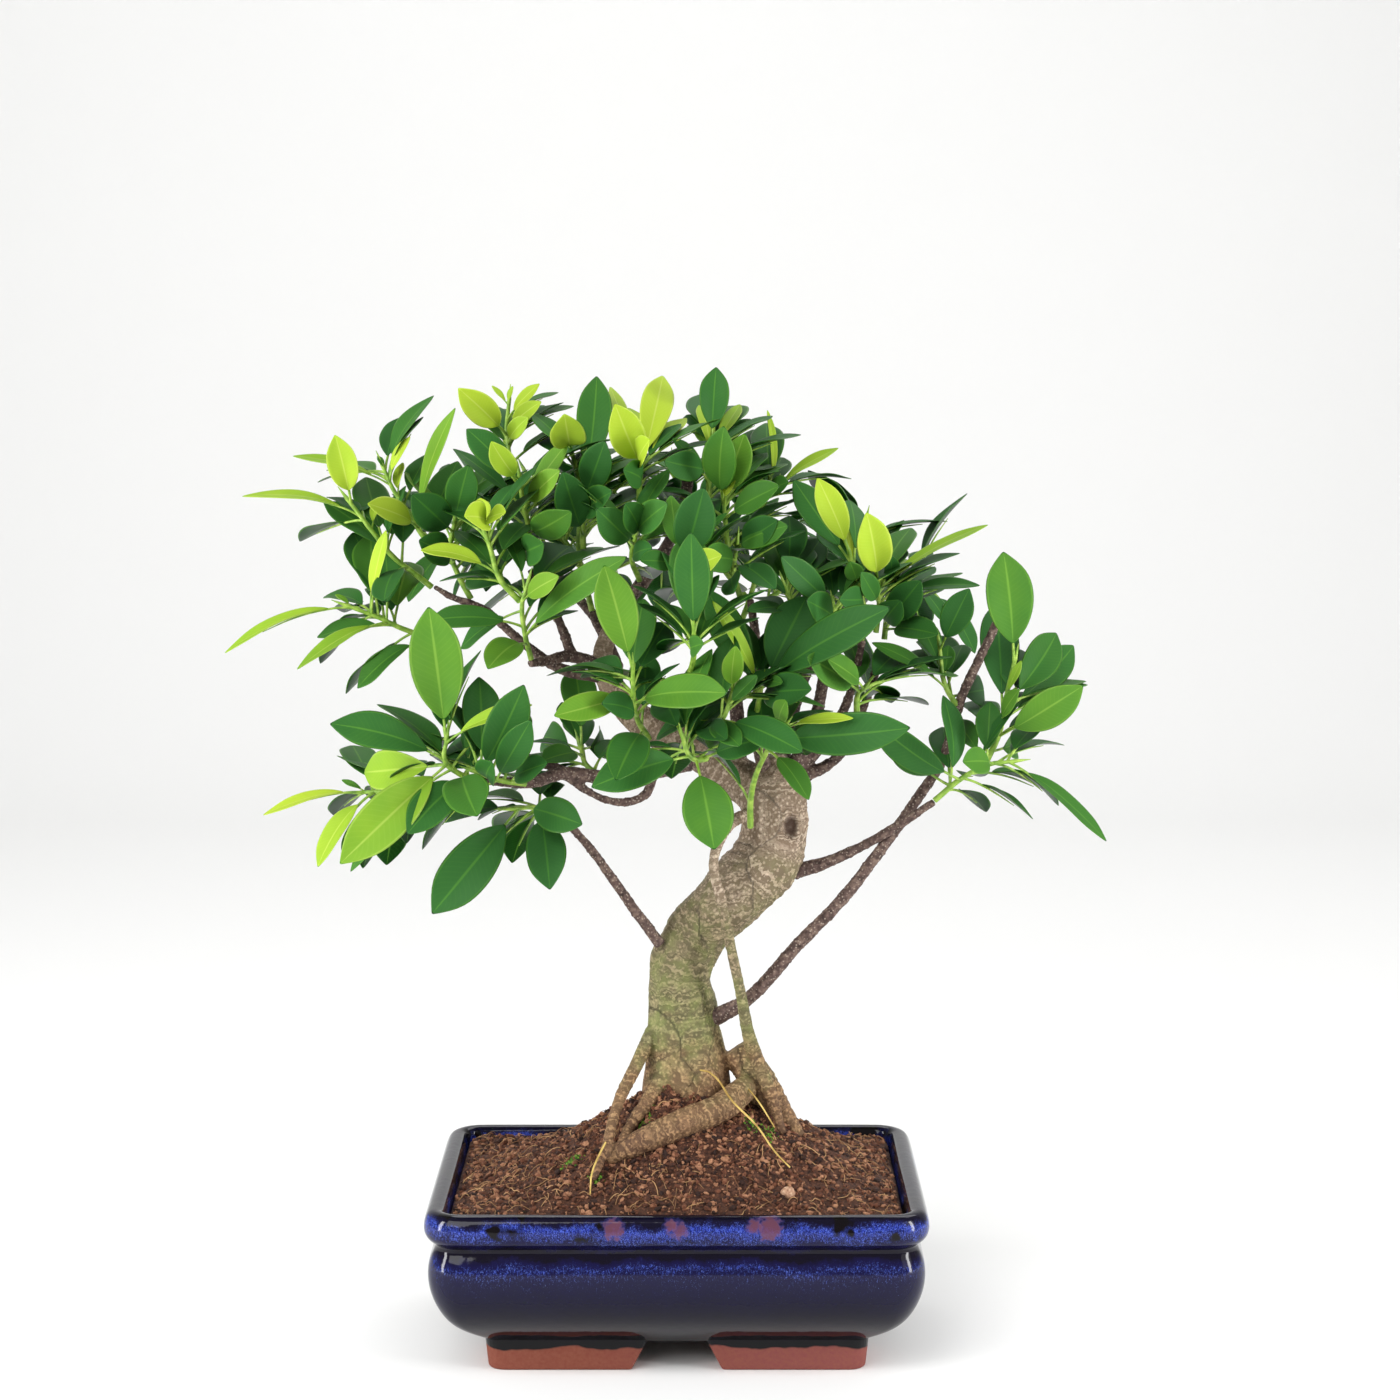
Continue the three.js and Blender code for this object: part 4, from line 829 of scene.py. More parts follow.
BRANCHES = {
    "branch_left_low": [
        [(-7, -8, 168, 2.6), (-15, -10, 179, 2.2), (-27, -13, 197, 2),
         (-36, -16, 210, 1.8), (-45, -19, 221, 1.6)],
    ],
    "branch_left_mid": [
        [(5, 0, 243, 4), (-10, -6, 240, 3.4), (-29, -12, 238, 3), (-45, -18, 241, 2.8), (-59, -30, 239, 2.4),
         (-77, -37, 241, 2)],
        [(-10, -7, 239, 2.4), (-13, -10, 231, 1.9), (-21, -12, 228, 1.7), (-31, -14, 230, 1.6),
         (-44, -18, 239, 2)],
        [(-45, -17, 241, 2.4), (-62, -14, 247, 1.8), (-76, -12, 250, 1.5)],
    ],
    "branch_left_inner": [
        [(-30, 8, 281, 3), (-44, -2, 287, 2.5), (-54, -12, 286, 2.1), (-58, -17, 286, 1.8)],
        [(-43, -1, 287, 2.4), (-50, -2, 305, 1.8), (-59, -4, 321, 1.5)],
    ],
    "branch_left_far": [
        [(-30, 14, 276, 2.6), (-48, 6, 281, 2.4), (-65, 4, 293, 2), (-80, 4, 306, 1.7), (-93, 4, 311, 1.4),
         (-98, 4, 314, 1.2)],
    ],
    "branch_top": [
        [(-29, 17, 293, 3.2), (-24, 22, 303, 3), (-12, 26, 318, 2.8), (1, 16, 342, 2.5), (4, 10, 354, 2.4),
         (4, 8, 371, 2.2)],
        [(-24, 21, 303, 2.6), (-20, 2, 307, 2.2), (-16, -13, 316, 1.7)],
    ],
    "branch_centre": [
        [(36, -2, 240, 3.4), (33, -14, 256, 2.6), (33, -12, 274, 2.2),
         (32, -14, 295, 2), (30, -20, 310, 1.6)],
    ],
    "branch_right_fan": [
        [(44, 0, 236, 4), (53, -2, 250, 3), (58, -6, 267, 2.6), (61, -10, 284, 2.2), (65, -14, 293, 1.8)],
        [(46, 1, 236, 3.4), (58, 0, 248, 2.4), (69, -6, 267, 2), (74, -12, 287, 1.7), (75, -14, 293, 1.5)],
        [(46, 0, 235, 3.4), (64, 0, 243, 2.3), (71, 0, 253, 2), (79, 0, 272, 1.8), (84, -2, 290, 1.6)],
    ],
    "branch_right_low": [
        [(48, -1, 197, 3.6), (63, -4, 202, 2.4), (76, -8, 209, 2.1),
         (91, -14, 219, 1.9), (103, -19, 228, 1.6)],
    ],
    "branch_right_long": [
        [(14, -3, 135, 4), (29, -9, 145, 2.8), (49, -9, 167, 2.7), (68, -9, 187, 2.6), (84, -9, 208, 2.4),
         (98, -9, 228, 2.3), (109, -10, 246, 2.2), (115, -11, 268, 2.1),
         (120, -11, 280, 2), (130, -11, 301, 1.8)],
    ],
    "branch_back_left": [
        [(-25, 16, 280, 3), (-34, 32, 298, 2.4), (-44, 48, 308, 2), (-51, 57, 315, 1.6)],
    ],
    "branch_back_middle": [
        [(26, 8, 238, 3.4), (22, 30, 282, 2.6), (12, 50, 302, 2.1), (5, 62, 316, 1.6)],
    ],
    "branch_back_right": [
        [(42, 8, 236, 3.4), (52, 22, 272, 2.4), (62, 38, 290, 2), (69, 48, 300, 1.6)],
    ],
}


# %% Melt the limbs into one skin


SHRINKS_BY = 2.2


def melted_skin(name, limbs, voxel, material):
    """Tubes along the limbs, remeshed into one closed skin with faces about a voxel wide."""
    lines = []
    for line in limbs:
        run = (Vector(line[-1][:3]) - Vector(line[-2][:3])).normalized() * SHRINKS_BY
        end = tuple(Vector(line[-1][:3]) + run)
        lines.append([(limb[:3], limb[3]) for limb in line] + [(end, line[-1][3] * 0.95)])
    tubes = curve_mesh(name + "_tubes", lines, sides=3)
    made = mesh_object(name, tubes, [material])
    melt = made.modifiers.new("melt", "REMESH")
    melt.mode = "VOXEL"
    melt.voxel_size = voxel * MM
    ease = made.modifiers.new("ease", "SMOOTH")
    ease.factor, ease.iterations = 0.5, 4
    skin = finished_mesh(made)
    skin.materials.clear()
    return mesh_object(name, skin, [material])


def limb_samples(limbs, step=1.0):
    """Places along every limb a millimetre apart: (place in mm, distance along, radius)."""
    samples = []
    for line in limbs:
        travelled = 0
        for start, end in zip(line, line[1:]):
            run = Vector(end[:3]) - Vector(start[:3])
            count = max(int(run.length / step), 1)
            for index in range(count):
                share = index / count
                radius = start[3] + (end[3] - start[3]) * share
                samples.append((Vector(start[:3]) + run * share, travelled + run.length * share, radius))
            travelled += run.length
    return samples


def carve_bark(piece, limbs, relief):
    """Pushes every vertex along its normal by relief(place, along, radius), in millimetres."""
    samples = limb_samples(limbs)
    tree = kdtree.KDTree(len(samples))
    for index, (place, _, _) in enumerate(samples):
        tree.insert(place, index)
    tree.balance()
    mesh = piece.data
    along_values, moved = [], []
    for vertex in mesh.vertices:
        place = (vertex.co - MIDDLE) / MM
        near = min(tree.find_n(place, 6), key=lambda hit: hit[2] - samples[hit[1]][2])
        _, along, radius = samples[near[1]]
        along_values.append(along)
        moved.extend(vertex.co + vertex.normal * relief(place, along, radius) * MM)
    mesh.attributes.new("along", "FLOAT", "POINT").data.foreach_set("value", along_values)
    mesh.vertices.foreach_set("co", moved)
    mesh.update()


def ridged(place):
    """Noise that makes sharp crests: 1 on a crest, 0 far from it."""
    return 1 - min(abs(noise.noise(place)) * 2.2, 1)


KNOT_PLACE, KNOT_HALF = Vector((46.7, -12, 217.6)), Vector((3.6, 8, 5.4))
SCAR_PLACE, SCAR_HALF = Vector((42.1, -11, 238)), Vector((2.6, 6, 2.2))


def dent(place, middle, half, depth):
    """A healed wound: a raised lip round a sunken oval."""
    away = Vector((place - middle)[axis] / half[axis] for axis in range(3)).length
    return -depth * max(0, 1 - away * away) + 0.55 * depth * math.exp(-((away - 1.15) / 0.28) ** 2)


def trunk_relief(place, along, radius):
    """Rings, pores and lumps of the trunk and its roots."""
    thick = min(radius / 14, 1)
    lumps = 1.1 * thick * noise.noise(place / 13)
    warp = 3.2 * noise.noise(place / 9) + 1.1 * noise.noise(place / 3.1)
    bend = 0.35 + 0.75 * math.exp(-((place.z - 200) / 26) ** 2) + 1.1 * (place.z < 112)
    rings = 0.42 * bend * thick ** 0.4 * ridged(Vector(((along + warp) / 3.4, place.x / 16, place.y / 16)))
    pores = 0.26 * ridged(place / 1.9) * thick ** 0.3
    wounds = dent(place, KNOT_PLACE, KNOT_HALF, 2.2) + dent(place, SCAR_PLACE, SCAR_HALF, 0.9)
    return lumps + rings + pores + wounds - 0.45 * bend * thick


def twig_relief(place, along, radius):
    """Leaf scars in rings every few millimetres, and a rough skin."""
    scar = max(0, math.cos(2 * math.pi * (along + 2 * noise.noise(place / 20)) / 8.5)) ** 12
    return 0.22 * scar + 0.2 * noise.noise(place / 1.3) + 0.3 * noise.noise(place / 6)


# %% [markdown]
# The bark's colour changes with height: soil-stained at the foot, green with algae where the
# bark stays damp, and a dry pinkish tan towards the top. Pores and ring crests are pale. The
# furrows between the rings are dark, partly the bark's own colour and partly painted shade.
# The crown's twigs are dark brown with small pale pores.

# %% Trunk bark and twig bark


def trunk_bark():
    """Thin ficus bark: matt, ringed, pale pores on grey-green that dries to tan."""
    material, tree, output = new_material("thin_ficus_bark")
    millimetres = in_millimetres(tree)
    along = add(tree, "Attribute", attribute_name="along").outputs["Fac"]
    axes = add(tree, "SeparateXYZ", {0: millimetres})
    patches = add(tree, "TexNoise", {"Vector": millimetres, "Scale": 0.06, "Detail": 4.0})
    drift = add(tree, "Math", {0: patches, 1: 60.0, 2: -30.0}, operation="MULTIPLY_ADD")
    drifted = add(tree, "Math", {0: axes.outputs["Z"], 1: drift}, operation="ADD")
    height = add(tree, "MapRange", {"Value": drifted, "From Min": 78.0, "From Max": 300.0})
    dark = add(tree, "ValToRGB", {0: height}, stops=[
        (0.0, "#4B3020"), (0.14, "#664A30"), (0.24, "#575233"), (0.44, "#62583E"), (0.6, "#806C58"),
        (0.8, "#78644F")])
    pale = add(tree, "ValToRGB", {0: height}, stops=[
        (0.0, "#9B7450"), (0.14, "#B8946A"), (0.24, "#A29A6C"), (0.44, "#AE9A7C"), (0.6, "#DAC6B0"),
        (0.8, "#BCA791")])

    # Ring crests follow the limb; pores are short dashes about 1.5 mm across.
    warp = add(tree, "TexNoise", {"Vector": millimetres, "Scale": 0.3, "Detail": 3.0})
    bent = add(tree, "Math", {0: warp, 1: 7.0, 2: along}, operation="MULTIPLY_ADD")
    rings = add(tree, "TexNoise", {"W": bent, "Scale": 0.55, "Detail": 3.0},
                noise_dimensions="1D")
    pores = add(tree, "TexVoronoi", {"Vector": millimetres, "Scale": 0.52, "Randomness": 1.0},
                feature="F1")
    dots = add(tree, "MapRange", {
        "Value": pores, "From Min": 0.2, "From Max": 0.42, "To Min": 1.0, "To Max": 0.0})
    fine = add(tree, "TexNoise", {"Vector": millimetres, "Scale": 1.1, "Detail": 6.0, "Roughness": 0.65})
    ring_share = add(tree, "MapRange", {
        "Value": rings, "From Min": 0.4, "From Max": 0.68, "To Min": 0.0, "To Max": 0.7})
    dotted = add(tree, "Math", {0: dots, 1: 0.55, 2: ring_share}, operation="MULTIPLY_ADD")
    crest = add(tree, "Math", {0: dotted, 1: fine}, operation="MULTIPLY")
    # Pale on pores and ring crests, dark in the furrows between them: pore colour and painted furrow shade.
    pale_pores_and_furrow_shade = add(tree, "MapRange", {"Value": crest, "From Min": 0.06, "From Max": 0.48})
    skin = add(tree, "Mix", {MIX_FACTOR: pale_pores_and_furrow_shade, MIX_A: dark, MIX_B: pale}, data_type="RGBA")
    green = add(tree, "TexNoise", {"Vector": millimetres, "Scale": 0.16, "Detail": 5.0})
    damp = add(tree, "ValToRGB", {0: height}, stops=[
        (0.0, 0.0), (0.15, 0.1), (0.24, 1.0), (0.42, 0.75), (0.58, 0.05)])
    algae_spot = add(tree, "MapRange", {
        "Value": green, "From Min": 0.42, "From Max": 0.64, "To Min": 0.0, "To Max": 0.45})
    algae = add(tree, "Math", {0: algae_spot, 1: damp}, operation="MULTIPLY")
    colour = add(tree, "Mix", {MIX_FACTOR: algae, MIX_A: skin.outputs[MIX_OUT],
                               MIX_B: linear("#84904A")}, data_type="RGBA")
    knot = add(tree, "VectorMath", {0: millimetres, 1: tuple(-KNOT_PLACE)}, operation="ADD")
    knot_scaled = add(tree, "VectorMath", {0: knot, 1: tuple(1 / h for h in KNOT_HALF)},
                      operation="MULTIPLY")
    knot_away = add(tree, "VectorMath", {0: knot_scaled}, operation="LENGTH")
    knot_dark = add(tree, "MapRange", {
        "Value": knot_away.outputs["Value"], "From Min": 0.7, "From Max": 1.05, "To Min": 0.9, "To Max": 0.0})
    with_knot = add(tree, "Mix", {MIX_FACTOR: knot_dark, MIX_A: colour.outputs[MIX_OUT],
                                  MIX_B: linear("#3A2418")}, data_type="RGBA")
    bump = add(tree, "Bump", {"Height": crest, "Strength": 1.0, "Distance": 0.8 * MM})
    bark = add(tree, "BsdfPrincipled", {
        "Base Color": with_knot.outputs[MIX_OUT], "Roughness": 0.78, "Normal": bump})
    tree.links.new(bark.outputs["BSDF"], output.inputs["Surface"])
    return material


def twig_bark():
    """Dry twig bark: dark brown, matt, with pale pores half a millimetre wide."""
    material, tree, output = new_material("dry_twig_bark")
    millimetres = in_millimetres(tree, centred=False)
    fine = add(tree, "TexNoise", {"Vector": millimetres, "Scale": 0.5, "Detail": 5.0})
    skin = add(tree, "ValToRGB", {0: fine}, stops=[
        (0.3, "#2E201A"), (0.5, "#54403A"), (0.7, "#7D695C")])
    pores = add(tree, "TexVoronoi", {"Vector": millimetres, "Scale": 0.75})
    dots = add(tree, "MapRange", {
        "Value": pores, "From Min": 0.18, "From Max": 0.32, "To Min": 0.75, "To Max": 0.0})
    colour = add(tree, "Mix", {MIX_FACTOR: dots, MIX_A: skin,
                               MIX_B: linear("#A39384")}, data_type="RGBA")
    bump = add(tree, "Bump", {"Height": fine, "Strength": 0.8, "Distance": 0.5 * MM})
    bark = add(tree, "BsdfPrincipled", {
        "Base Color": colour.outputs[MIX_OUT], "Roughness": 0.8, "Normal": bump})
    tree.links.new(bark.outputs["BSDF"], output.inputs["Surface"])
    return material


# %% Grow the wood
trunk = melted_skin("trunk", TRUNK_LIMBS, 0.85, trunk_bark())
carve_bark(trunk, TRUNK_LIMBS, trunk_relief)
as_piece(trunk, "bark", "trunk")

TWIG_BARK = twig_bark()
for name, limbs in BRANCHES.items():
    branch = melted_skin(name, limbs, 0.5, TWIG_BARK)
    carve_bark(branch, limbs, twig_relief)
    as_piece(branch, "twig_bark", name)

# %% [markdown]
# ## The leaves
# A ficus leaf is a waxy oval blade on a short yellow-green stalk. It is folded a little along
# its midrib, bows along its length and ends in a small drip tip. The blade starts as a flat grid
# of four by nine faces. Each row of the grid is pulled in to the leaf's outline, the two halves
# are lifted to make the fold, and the midrib is bent. A Solidify modifier gives it the thickness
# of a real leaf and puts the paler finish on its underside, and one level of subdivision rounds
# its margin. Stalks and green stems are curves with round sections.
#
# Each leaf keeps four numbers on its vertices: its tone, which is how young the leaf is, a number
# of its own from chance, and where a point lies across and along the blade. The material reads
# them, so that veins and margin follow every leaf.

# %% Where each shoot grows
# A shoot is its stem and its stated leaves:
# place on the stem in hundredths, tip x, y, z, width, roll, and how young it is from 0 to 92.
SHOOTS = {
    "shoot_left_hero": (
        [(-80, -38, 241), (-87, -45, 245), (-92, -50, 251), (-91, -52, 259)],
        [(100, -97, -58, 313, 22, 5, 45), (96, -56, -66, 275, 9, 55, 75),
         (62, -136, -62, 267, 17, 40, 12), (58, -131, -78, 214, 20, 15, 62),
         (25, -76, -92, 235, 19, 30, 30), (55, -128, -10, 240, 17, 20, 72),
         (10, -105, -74, 225, 17, 25, 18), (45, -131, -40, 204, 14, 50, 30)]),
    "shoot_left_tail": (
        [(-83, -14, 235), (-105, -10, 233), (-128, -5, 231)],
        [(100, -170, -10, 222, 9, 68, 88), (92, -146, -24, 203, 13, 50, 75),
         (100, -138, -5, 236, 3, 40, 40), (40, -116, 24, 238, 14, 60, 10),
         (60, -95, -47, 228, 15, 55, 8)]),
    "shoot_left_far": (
        [(-92, -4, 292), (-112, -8, 299), (-122, -10, 304), (-132, -12, 308)],
        [(100, -183, -20, 290, 9, 66, 72), (100, -139, -10, 313, 3, 50, 55),
         (74, -117, -18, 340, 8, 40, 82), (45, -113, 30, 323, 18, 10, 48),
         (70, -146, 14, 310, 13, 62, 20), (42, -146, -16, 296, 13, 62, 26),
         (52, -152, -34, 285, 10, 62, 62), (15, -130, -14, 275, 14, 55, 25)]),
    "shoot_left_top": (
        [(-92, 2, 325), (-103, 0, 335), (-109, -1, 345), (-116, -2, 356), (-119, -2, 363)],
        [(78, -156, -6, 369, 7, 66, 75), (84, -108, -6, 377, 6, 45, 88), (66, -112, 4, 366, 6, 40, 82),
         (36, -124, -25, 351, 12, 45, 88), (100, -122, -2, 369, 3, 40, 40),
         (32, -89, -12, 389, 10, 52, 55)]),
    "shoot_left_fan": (
        [(-101, 4, 315), (-109, 0, 322), (-116, -3, 328), (-124, -8, 339), (-132, -10, 350)],
        [(100, -136, -30, 379, 13, 0, 86), (88, -176, -12, 353, 8, 68, 75),
         (40, -145, 4, 350, 13, 45, 20), (30, -116, -40, 313, 15, 48, 8),
         (75, -122, 6, 351, 5, 30, 80)]),
    "shoot_left_inner": (
        [(-85, 6, 310), (-90, 4, 320), (-93, 0, 331), (-91, -2, 341)],
        [(90, -105, -39, 356, 16, 12, 12), (100, -83, -29, 367, 14, 0, 16),
         (88, -95, 30, 364, 15, 20, 8), (80, -112, 6, 362, 8, 60, 50),
         (50, -103, -33, 337, 14, 40, 14), (60, -73, 20, 360, 13, 20, 30)]),
    "shoot_left_bud": (
        [(-63, -27, 312), (-71, -31, 322), (-74, -33, 333), (-77, -35, 342)],
        [(100, -78, -34, 354, 8, 10, 85), (100, -82, -70, 349, 13, 70, 88),
         (100, -66, -62, 350, 10, 70, 88), (36, -102, -34, 333, 10, 52, 88),
         (10, -84, 11, 324, 21, 5, 10), (30, -90, -10, 339, 11, 50, 28)]),
    "shoot_left_cut": (
        [(-59, -20, 288), (-61, -25, 298), (-62, -28, 311), (-60, -30, 318)],
        [(32, -19, -52, 332, 15, 42, 42), (72, -46, -48, 324, 10, 25, 62),
         (80, -44, 9, 331, 19, 15, 8), (42, -99, -36, 305, 13, 45, 25),
         (20, -74, -58, 288, 14, 45, 48), (88, -73, -10, 344, 10, 40, 30),
         (60, -88, -10, 291, 11, 50, 22)]),
    "shoot_left_lower": (
        [(-48, -20, 225), (-58, -25, 228), (-64, -28, 228)],
        [(100, -98, -46, 188, 21, 10, 8), (40, -50, -58, 200, 17, 8, 10),
         (80, -37, -56, 226, 15, 20, 14), (100, -98, -6, 221, 15, 62, 6)]),
    "shoot_left_mid": (
        [(-61, -34, 239), (-71, -44, 242), (-79, -50, 246)],
        [(100, -59, -72, 284, 17, -15, 20), (55, -56, -78, 271, 13, 0, 16),
         (70, -92, -8, 252, 16, 15, 10), (60, -71, -76, 254, 12, 40, 12),
         (25, -50, -66, 252, 12, 50, 12)]),
    "shoot_left_under": (
        [(-32, 2, 237), (-38, 6, 241), (-40, 8, 247)],
        [(100, -57, 45, 247, 15, 30, 22), (80, -55, -21, 246, 12, 60, 30),
         (100, -32, 48, 246, 15, 20, 35), (60, -44, 41, 257, 14, 20, 12)]),
    "shoot_mid_left": (
        [(-11, -38, 258), (-16, -50, 269), (-17, -55, 280), (-17, -58, 287)],
        [(100, -28, -66, 330, 17, 0, 52), (58, -47, -84, 273, 13, 35, 56),
         (72, -4, -24, 303, 15, 15, 2), (60, -34, -21, 287, 14, 25, 14),
         (48, 20, -92, 283, 17, 45, 40), (12, -23, -92, 249, 17, 20, 16),
         (30, -29, -77, 277, 12, 45, 14)]),
    "shoot_mid_low": (
        [(12, -46, 251), (7, -54, 252), (4, -58, 256), (3, -60, 260)],
        [(28, 15, -80, 220, 21, 10, 36), (44, -33, -76, 244, 17, 28, 14),
         (100, -6, -20, 274, 16, 0, 8), (8, 37, -70, 263, 14, 35, 8)]),
    "shoot_mid_twig": (
        [(9, -30, 260), (11, -44, 265), (18, -58, 268), (22, -54, 279)],
        [(66, 49, -92, 260, 15, 38, 10), (40, 25, -84, 261, 11, 45, 22),
         (13, 20, -80, 263, 12, 60, 12), (53, -8, -31, 257, 12, 60, 12), (100, 23, -78, 300, 9, 0, 60),
         (86, 9, -20, 284, 13, 40, 20), (80, 32, -60, 286, 8, 40, 25)]),
    "shoot_front": (
        [(30, -14, 218), (30, -20, 230), (32, -30, 242), (36, -42, 253), (38, -48, 258), (42, -54, 264)],
        [(64, 52, -64, 237, 12, 45, 30), (100, 69, -76, 271, 6, 55, 88),
         (84, 91, -80, 268, 18, 18, 10), (92, 63, -32, 268, 9, 75, 12),
         (100, 43, -81, 279, 9, 50, 50)]),
    "shoot_mid_big": (
        [(32, -26, 265), (33, -34, 273), (34, -38, 279)],
        [(100, 84, -62, 313, 19, 38, 10), (92, 52, -34, 315, 20, 8, 6), (100, 42, -62, 283, 6, 55, 30),
         (80, 14, -56, 315, 8, 45, 72), (70, 12, -36, 318, 15, 10, 26),
         (60, 53, -73, 282, 16, 40, 8)]),
    "shoot_mid_hero": (
        [(5, -46, 284), (7, -60, 294), (7, -66, 301)],
        [(100, 6, -82, 344, 15, 0, 20), (60, -8, -34, 312, 13, 50, 25), (50, 0, -34, 308, 9, 20, 28),
         (70, 11, -92, 302, 9, 50, 30), (40, 14, -26, 312, 14, 20, 20)]),
    "shoot_mid_top": (
        [(-15, -20, 320), (-18, -30, 330), (-16, -36, 339)],
        [(80, -31, -65, 352, 14, 8, 24), (100, -3, -65, 354, 13, 35, 26),
         (100, -20, -65, 354, 12, 40, 22), (60, 7, -58, 351, 8, 48, 36),
         (40, -9, -60, 336, 9, 50, 18)]),
    "shoot_mid_white": (
        [(4, -34, 313), (3, -44, 324), (2, -50, 331)],
        [(100, -2, -62, 357, 10, -12, 40), (90, 11, -78, 361, 17, 0, 8),
         (70, -14, -71, 332, 10, 50, 20), (60, 18, -70, 334, 11, 20, 80)]),
    "shoot_sprig_left": (
        [(-68, 6, 359), (-69, 8, 369), (-70, 10, 379), (-69, 9, 389)],
        [(60, -88, -13, 397, 13, 0, 90), (82, -56, 6, 398, 6, 30, 86), (62, -55, 0, 391, 8, 30, 86),
         (48, -60, -6, 385, 8, 20, 82), (100, -76, 10, 397, 3, 40, 80),
         (100, -67, 8, 397, 3, 40, 80)]),
    "shoot_top_left": (
        [(-61, -6, 327), (-60, -11, 340), (-62, -15, 350), (-63, -19, 360)],
        [(88, -84, -24, 381, 13, 18, 12), (100, -73, -42, 377, 10, 0, 82),
         (60, -91, -6, 372, 10, 55, 14), (62, -46, -34, 365, 11, 30, 60),
         (66, -43, -20, 376, 9, 30, 56), (30, -41, -50, 350, 14, -12, 34),
         (10, -52, -46, 337, 14, 20, 20), (44, -76, 18, 355, 13, 40, 12)]),
    "shoot_top_curl": (
        [(-39, -3, 355), (-41, -5, 364), (-43, -8, 373)],
        [(100, -44, -46, 388, 15, 5, 86), (70, -60, 6, 386, 10, 45, 20),
         (50, -55, 28, 378, 14, 20, 10), (60, -33, 28, 373, 13, 10, 30)]),
    "shoot_top_olive": (
        [(-38, -12, 332), (-38, -13, 346), (-37, -13, 364)],
        [(20, -45, -41, 365, 15, 15, 14), (62, -28, -38, 377, 14, 10, 6),
         (75, -33, 12, 401, 15, 0, 24), (50, -56, 20, 350, 14, 20, 12),
         (40, -25, -43, 357, 13, 40, 16), (90, -42, 20, 381, 9, 40, 70)]),
    "shoot_top_yellow": (
        [(-15, -14, 347), (-15, -18, 357), (-14, -21, 366)],
        [(100, -24, -51, 392, 15, 5, 92), (100, -10, -52, 378, 12, 60, 84),
         (88, -6, 16, 401, 14, 0, 88), (92, 4, 4, 384, 9, 38, 88), (96, -20, 10, 388, 10, 30, 76),
         (60, -21, -50, 366, 12, 40, 14), (90, -3, 26, 392, 4, 30, 80),
         (80, -28, 30, 396, 7, 20, 82)]),
    "shoot_top_dark": (
        [(13, -6, 343), (13, -6, 355), (13, -6, 366), (14, -4, 372)],
        [(100, 16, 0, 405, 13, -8, 20), (40, -2, -18, 377, 8, 50, 24), (85, 8, 6, 379, 5, 30, 50),
         (72, 9, 14, 389, 8, 30, 82), (60, -5, -36, 369, 13, 10, 14), (50, 7, 26, 362, 12, 30, 12),
         (90, 26, 22, 389, 7, 30, 72)]),
    "shoot_top_fan": (
        [(21, -12, 327), (20, -14, 340), (19, -17, 351)],
        [(100, 19, -43, 383, 15, -20, 36), (96, 27, -39, 380, 14, 0, 50),
         (70, 41, -40, 359, 13, 38, 34), (100, 24, -30, 366, 5, 20, 84),
         (60, 12, 16, 350, 12, 20, 14)]),
    "shoot_top_right": (
        [(29, -4, 335), (34, -2, 347), (38, 0, 354)],
        [(100, 37, 31, 381, 15, 0, 18), (100, 66, 0, 372, 8, 62, 72), (90, 37, 14, 387, 5, 45, 78),
         (100, 45, -29, 360, 9, 50, 30), (60, 24, 20, 375, 12, 20, 20)]),
    "shoot_right_stack": (
        [(26, -24, 312), (23, -27, 324), (24, -30, 334)],
        [(100, 40, -59, 347, 13, 25, 6), (90, 44, -62, 345, 12, 32, 36), (60, 39, -64, 320, 12, 52, 8),
         (70, 9, -61, 332, 13, 20, 30), (40, 23, -66, 319, 11, 60, 12)]),
    "shoot_right_mid": (
        [(46, -22, 296), (47, -23, 307), (44, -25, 316)],
        [(100, 46, 5, 344, 15, 0, 8), (80, 59, 2, 335, 14, 15, 10), (90, 46, 2, 330, 10, -15, 80),
         (70, 28, -44, 328, 9, 55, 14), (50, 28, -50, 310, 9, 65, 12), (60, 62, 6, 321, 13, 30, 10)]),
    "shoot_right_lean": (
        [(65, -16, 295), (64, -22, 305), (63, -26, 310)],
        [(100, 41, -50, 332, 12, 15, 14), (60, 61, -1, 330, 12, 15, 6), (80, 75, -6, 327, 11, 20, 12),
         (40, 51, -55, 315, 14, 40, 12)]),
    "shoot_right_top": (
        [(75, -14, 295), (76, -18, 307), (73, -21, 318), (70, -24, 329)],
        [(92, 47, -14, 360, 13, 15, 14), (100, 56, -34, 362, 12, 8, 92), (70, 69, -36, 329, 8, 5, 30),
         (88, 71, 12, 350, 12, 30, 20), (80, 68, 14, 345, 9, 20, 84), (50, 64, -51, 315, 12, 20, 10)]),
    "shoot_right_yellow": (
        [(81, -12, 298), (82, -14, 308), (81, -17, 318)],
        [(100, 75, -43, 349, 15, 8, 92), (86, 127, -4, 341, 8, 64, 66), (60, 73, -40, 325, 9, 20, 26),
         (100, 94, 16, 325, 9, 50, 70)]),
    "shoot_right_tall": (
        [(85, -2, 294), (86, -2, 306), (87, -2, 319)],
        [(60, 123, -14, 317, 9, 64, 14), (64, 107, 14, 322, 11, 55, 16), (20, 98, -30, 321, 14, 10, 8),
         (80, 86, -20, 330, 8, 20, 16), (16, 105, -32, 299, 13, 50, 22),
         (30, 90, -30, 313, 12, 20, 10)]),
    "shoot_right_inner": (
        [(73, -20, 266), (73, -26, 274), (75, -30, 277)],
        [(70, 51, -57, 293, 15, 30, 32), (100, 59, -54, 292, 12, 52, 40), (40, 71, 8, 292, 14, 30, 28),
         (90, 92, 3, 289, 14, 30, 10)]),
    "shoot_right_cross": (
        [(114, -12, 268), (109, -13, 277), (107, -13, 291)],
        [(100, 117, -34, 318, 13, 8, 14), (55, 111, -6, 292, 7, 10, 26), (30, 79, -16, 294, 9, 55, 34),
         (20, 128, 22, 270, 14, 20, 10), (60, 99, 6, 302, 12, 30, 20)]),
    "shoot_right_hero": (
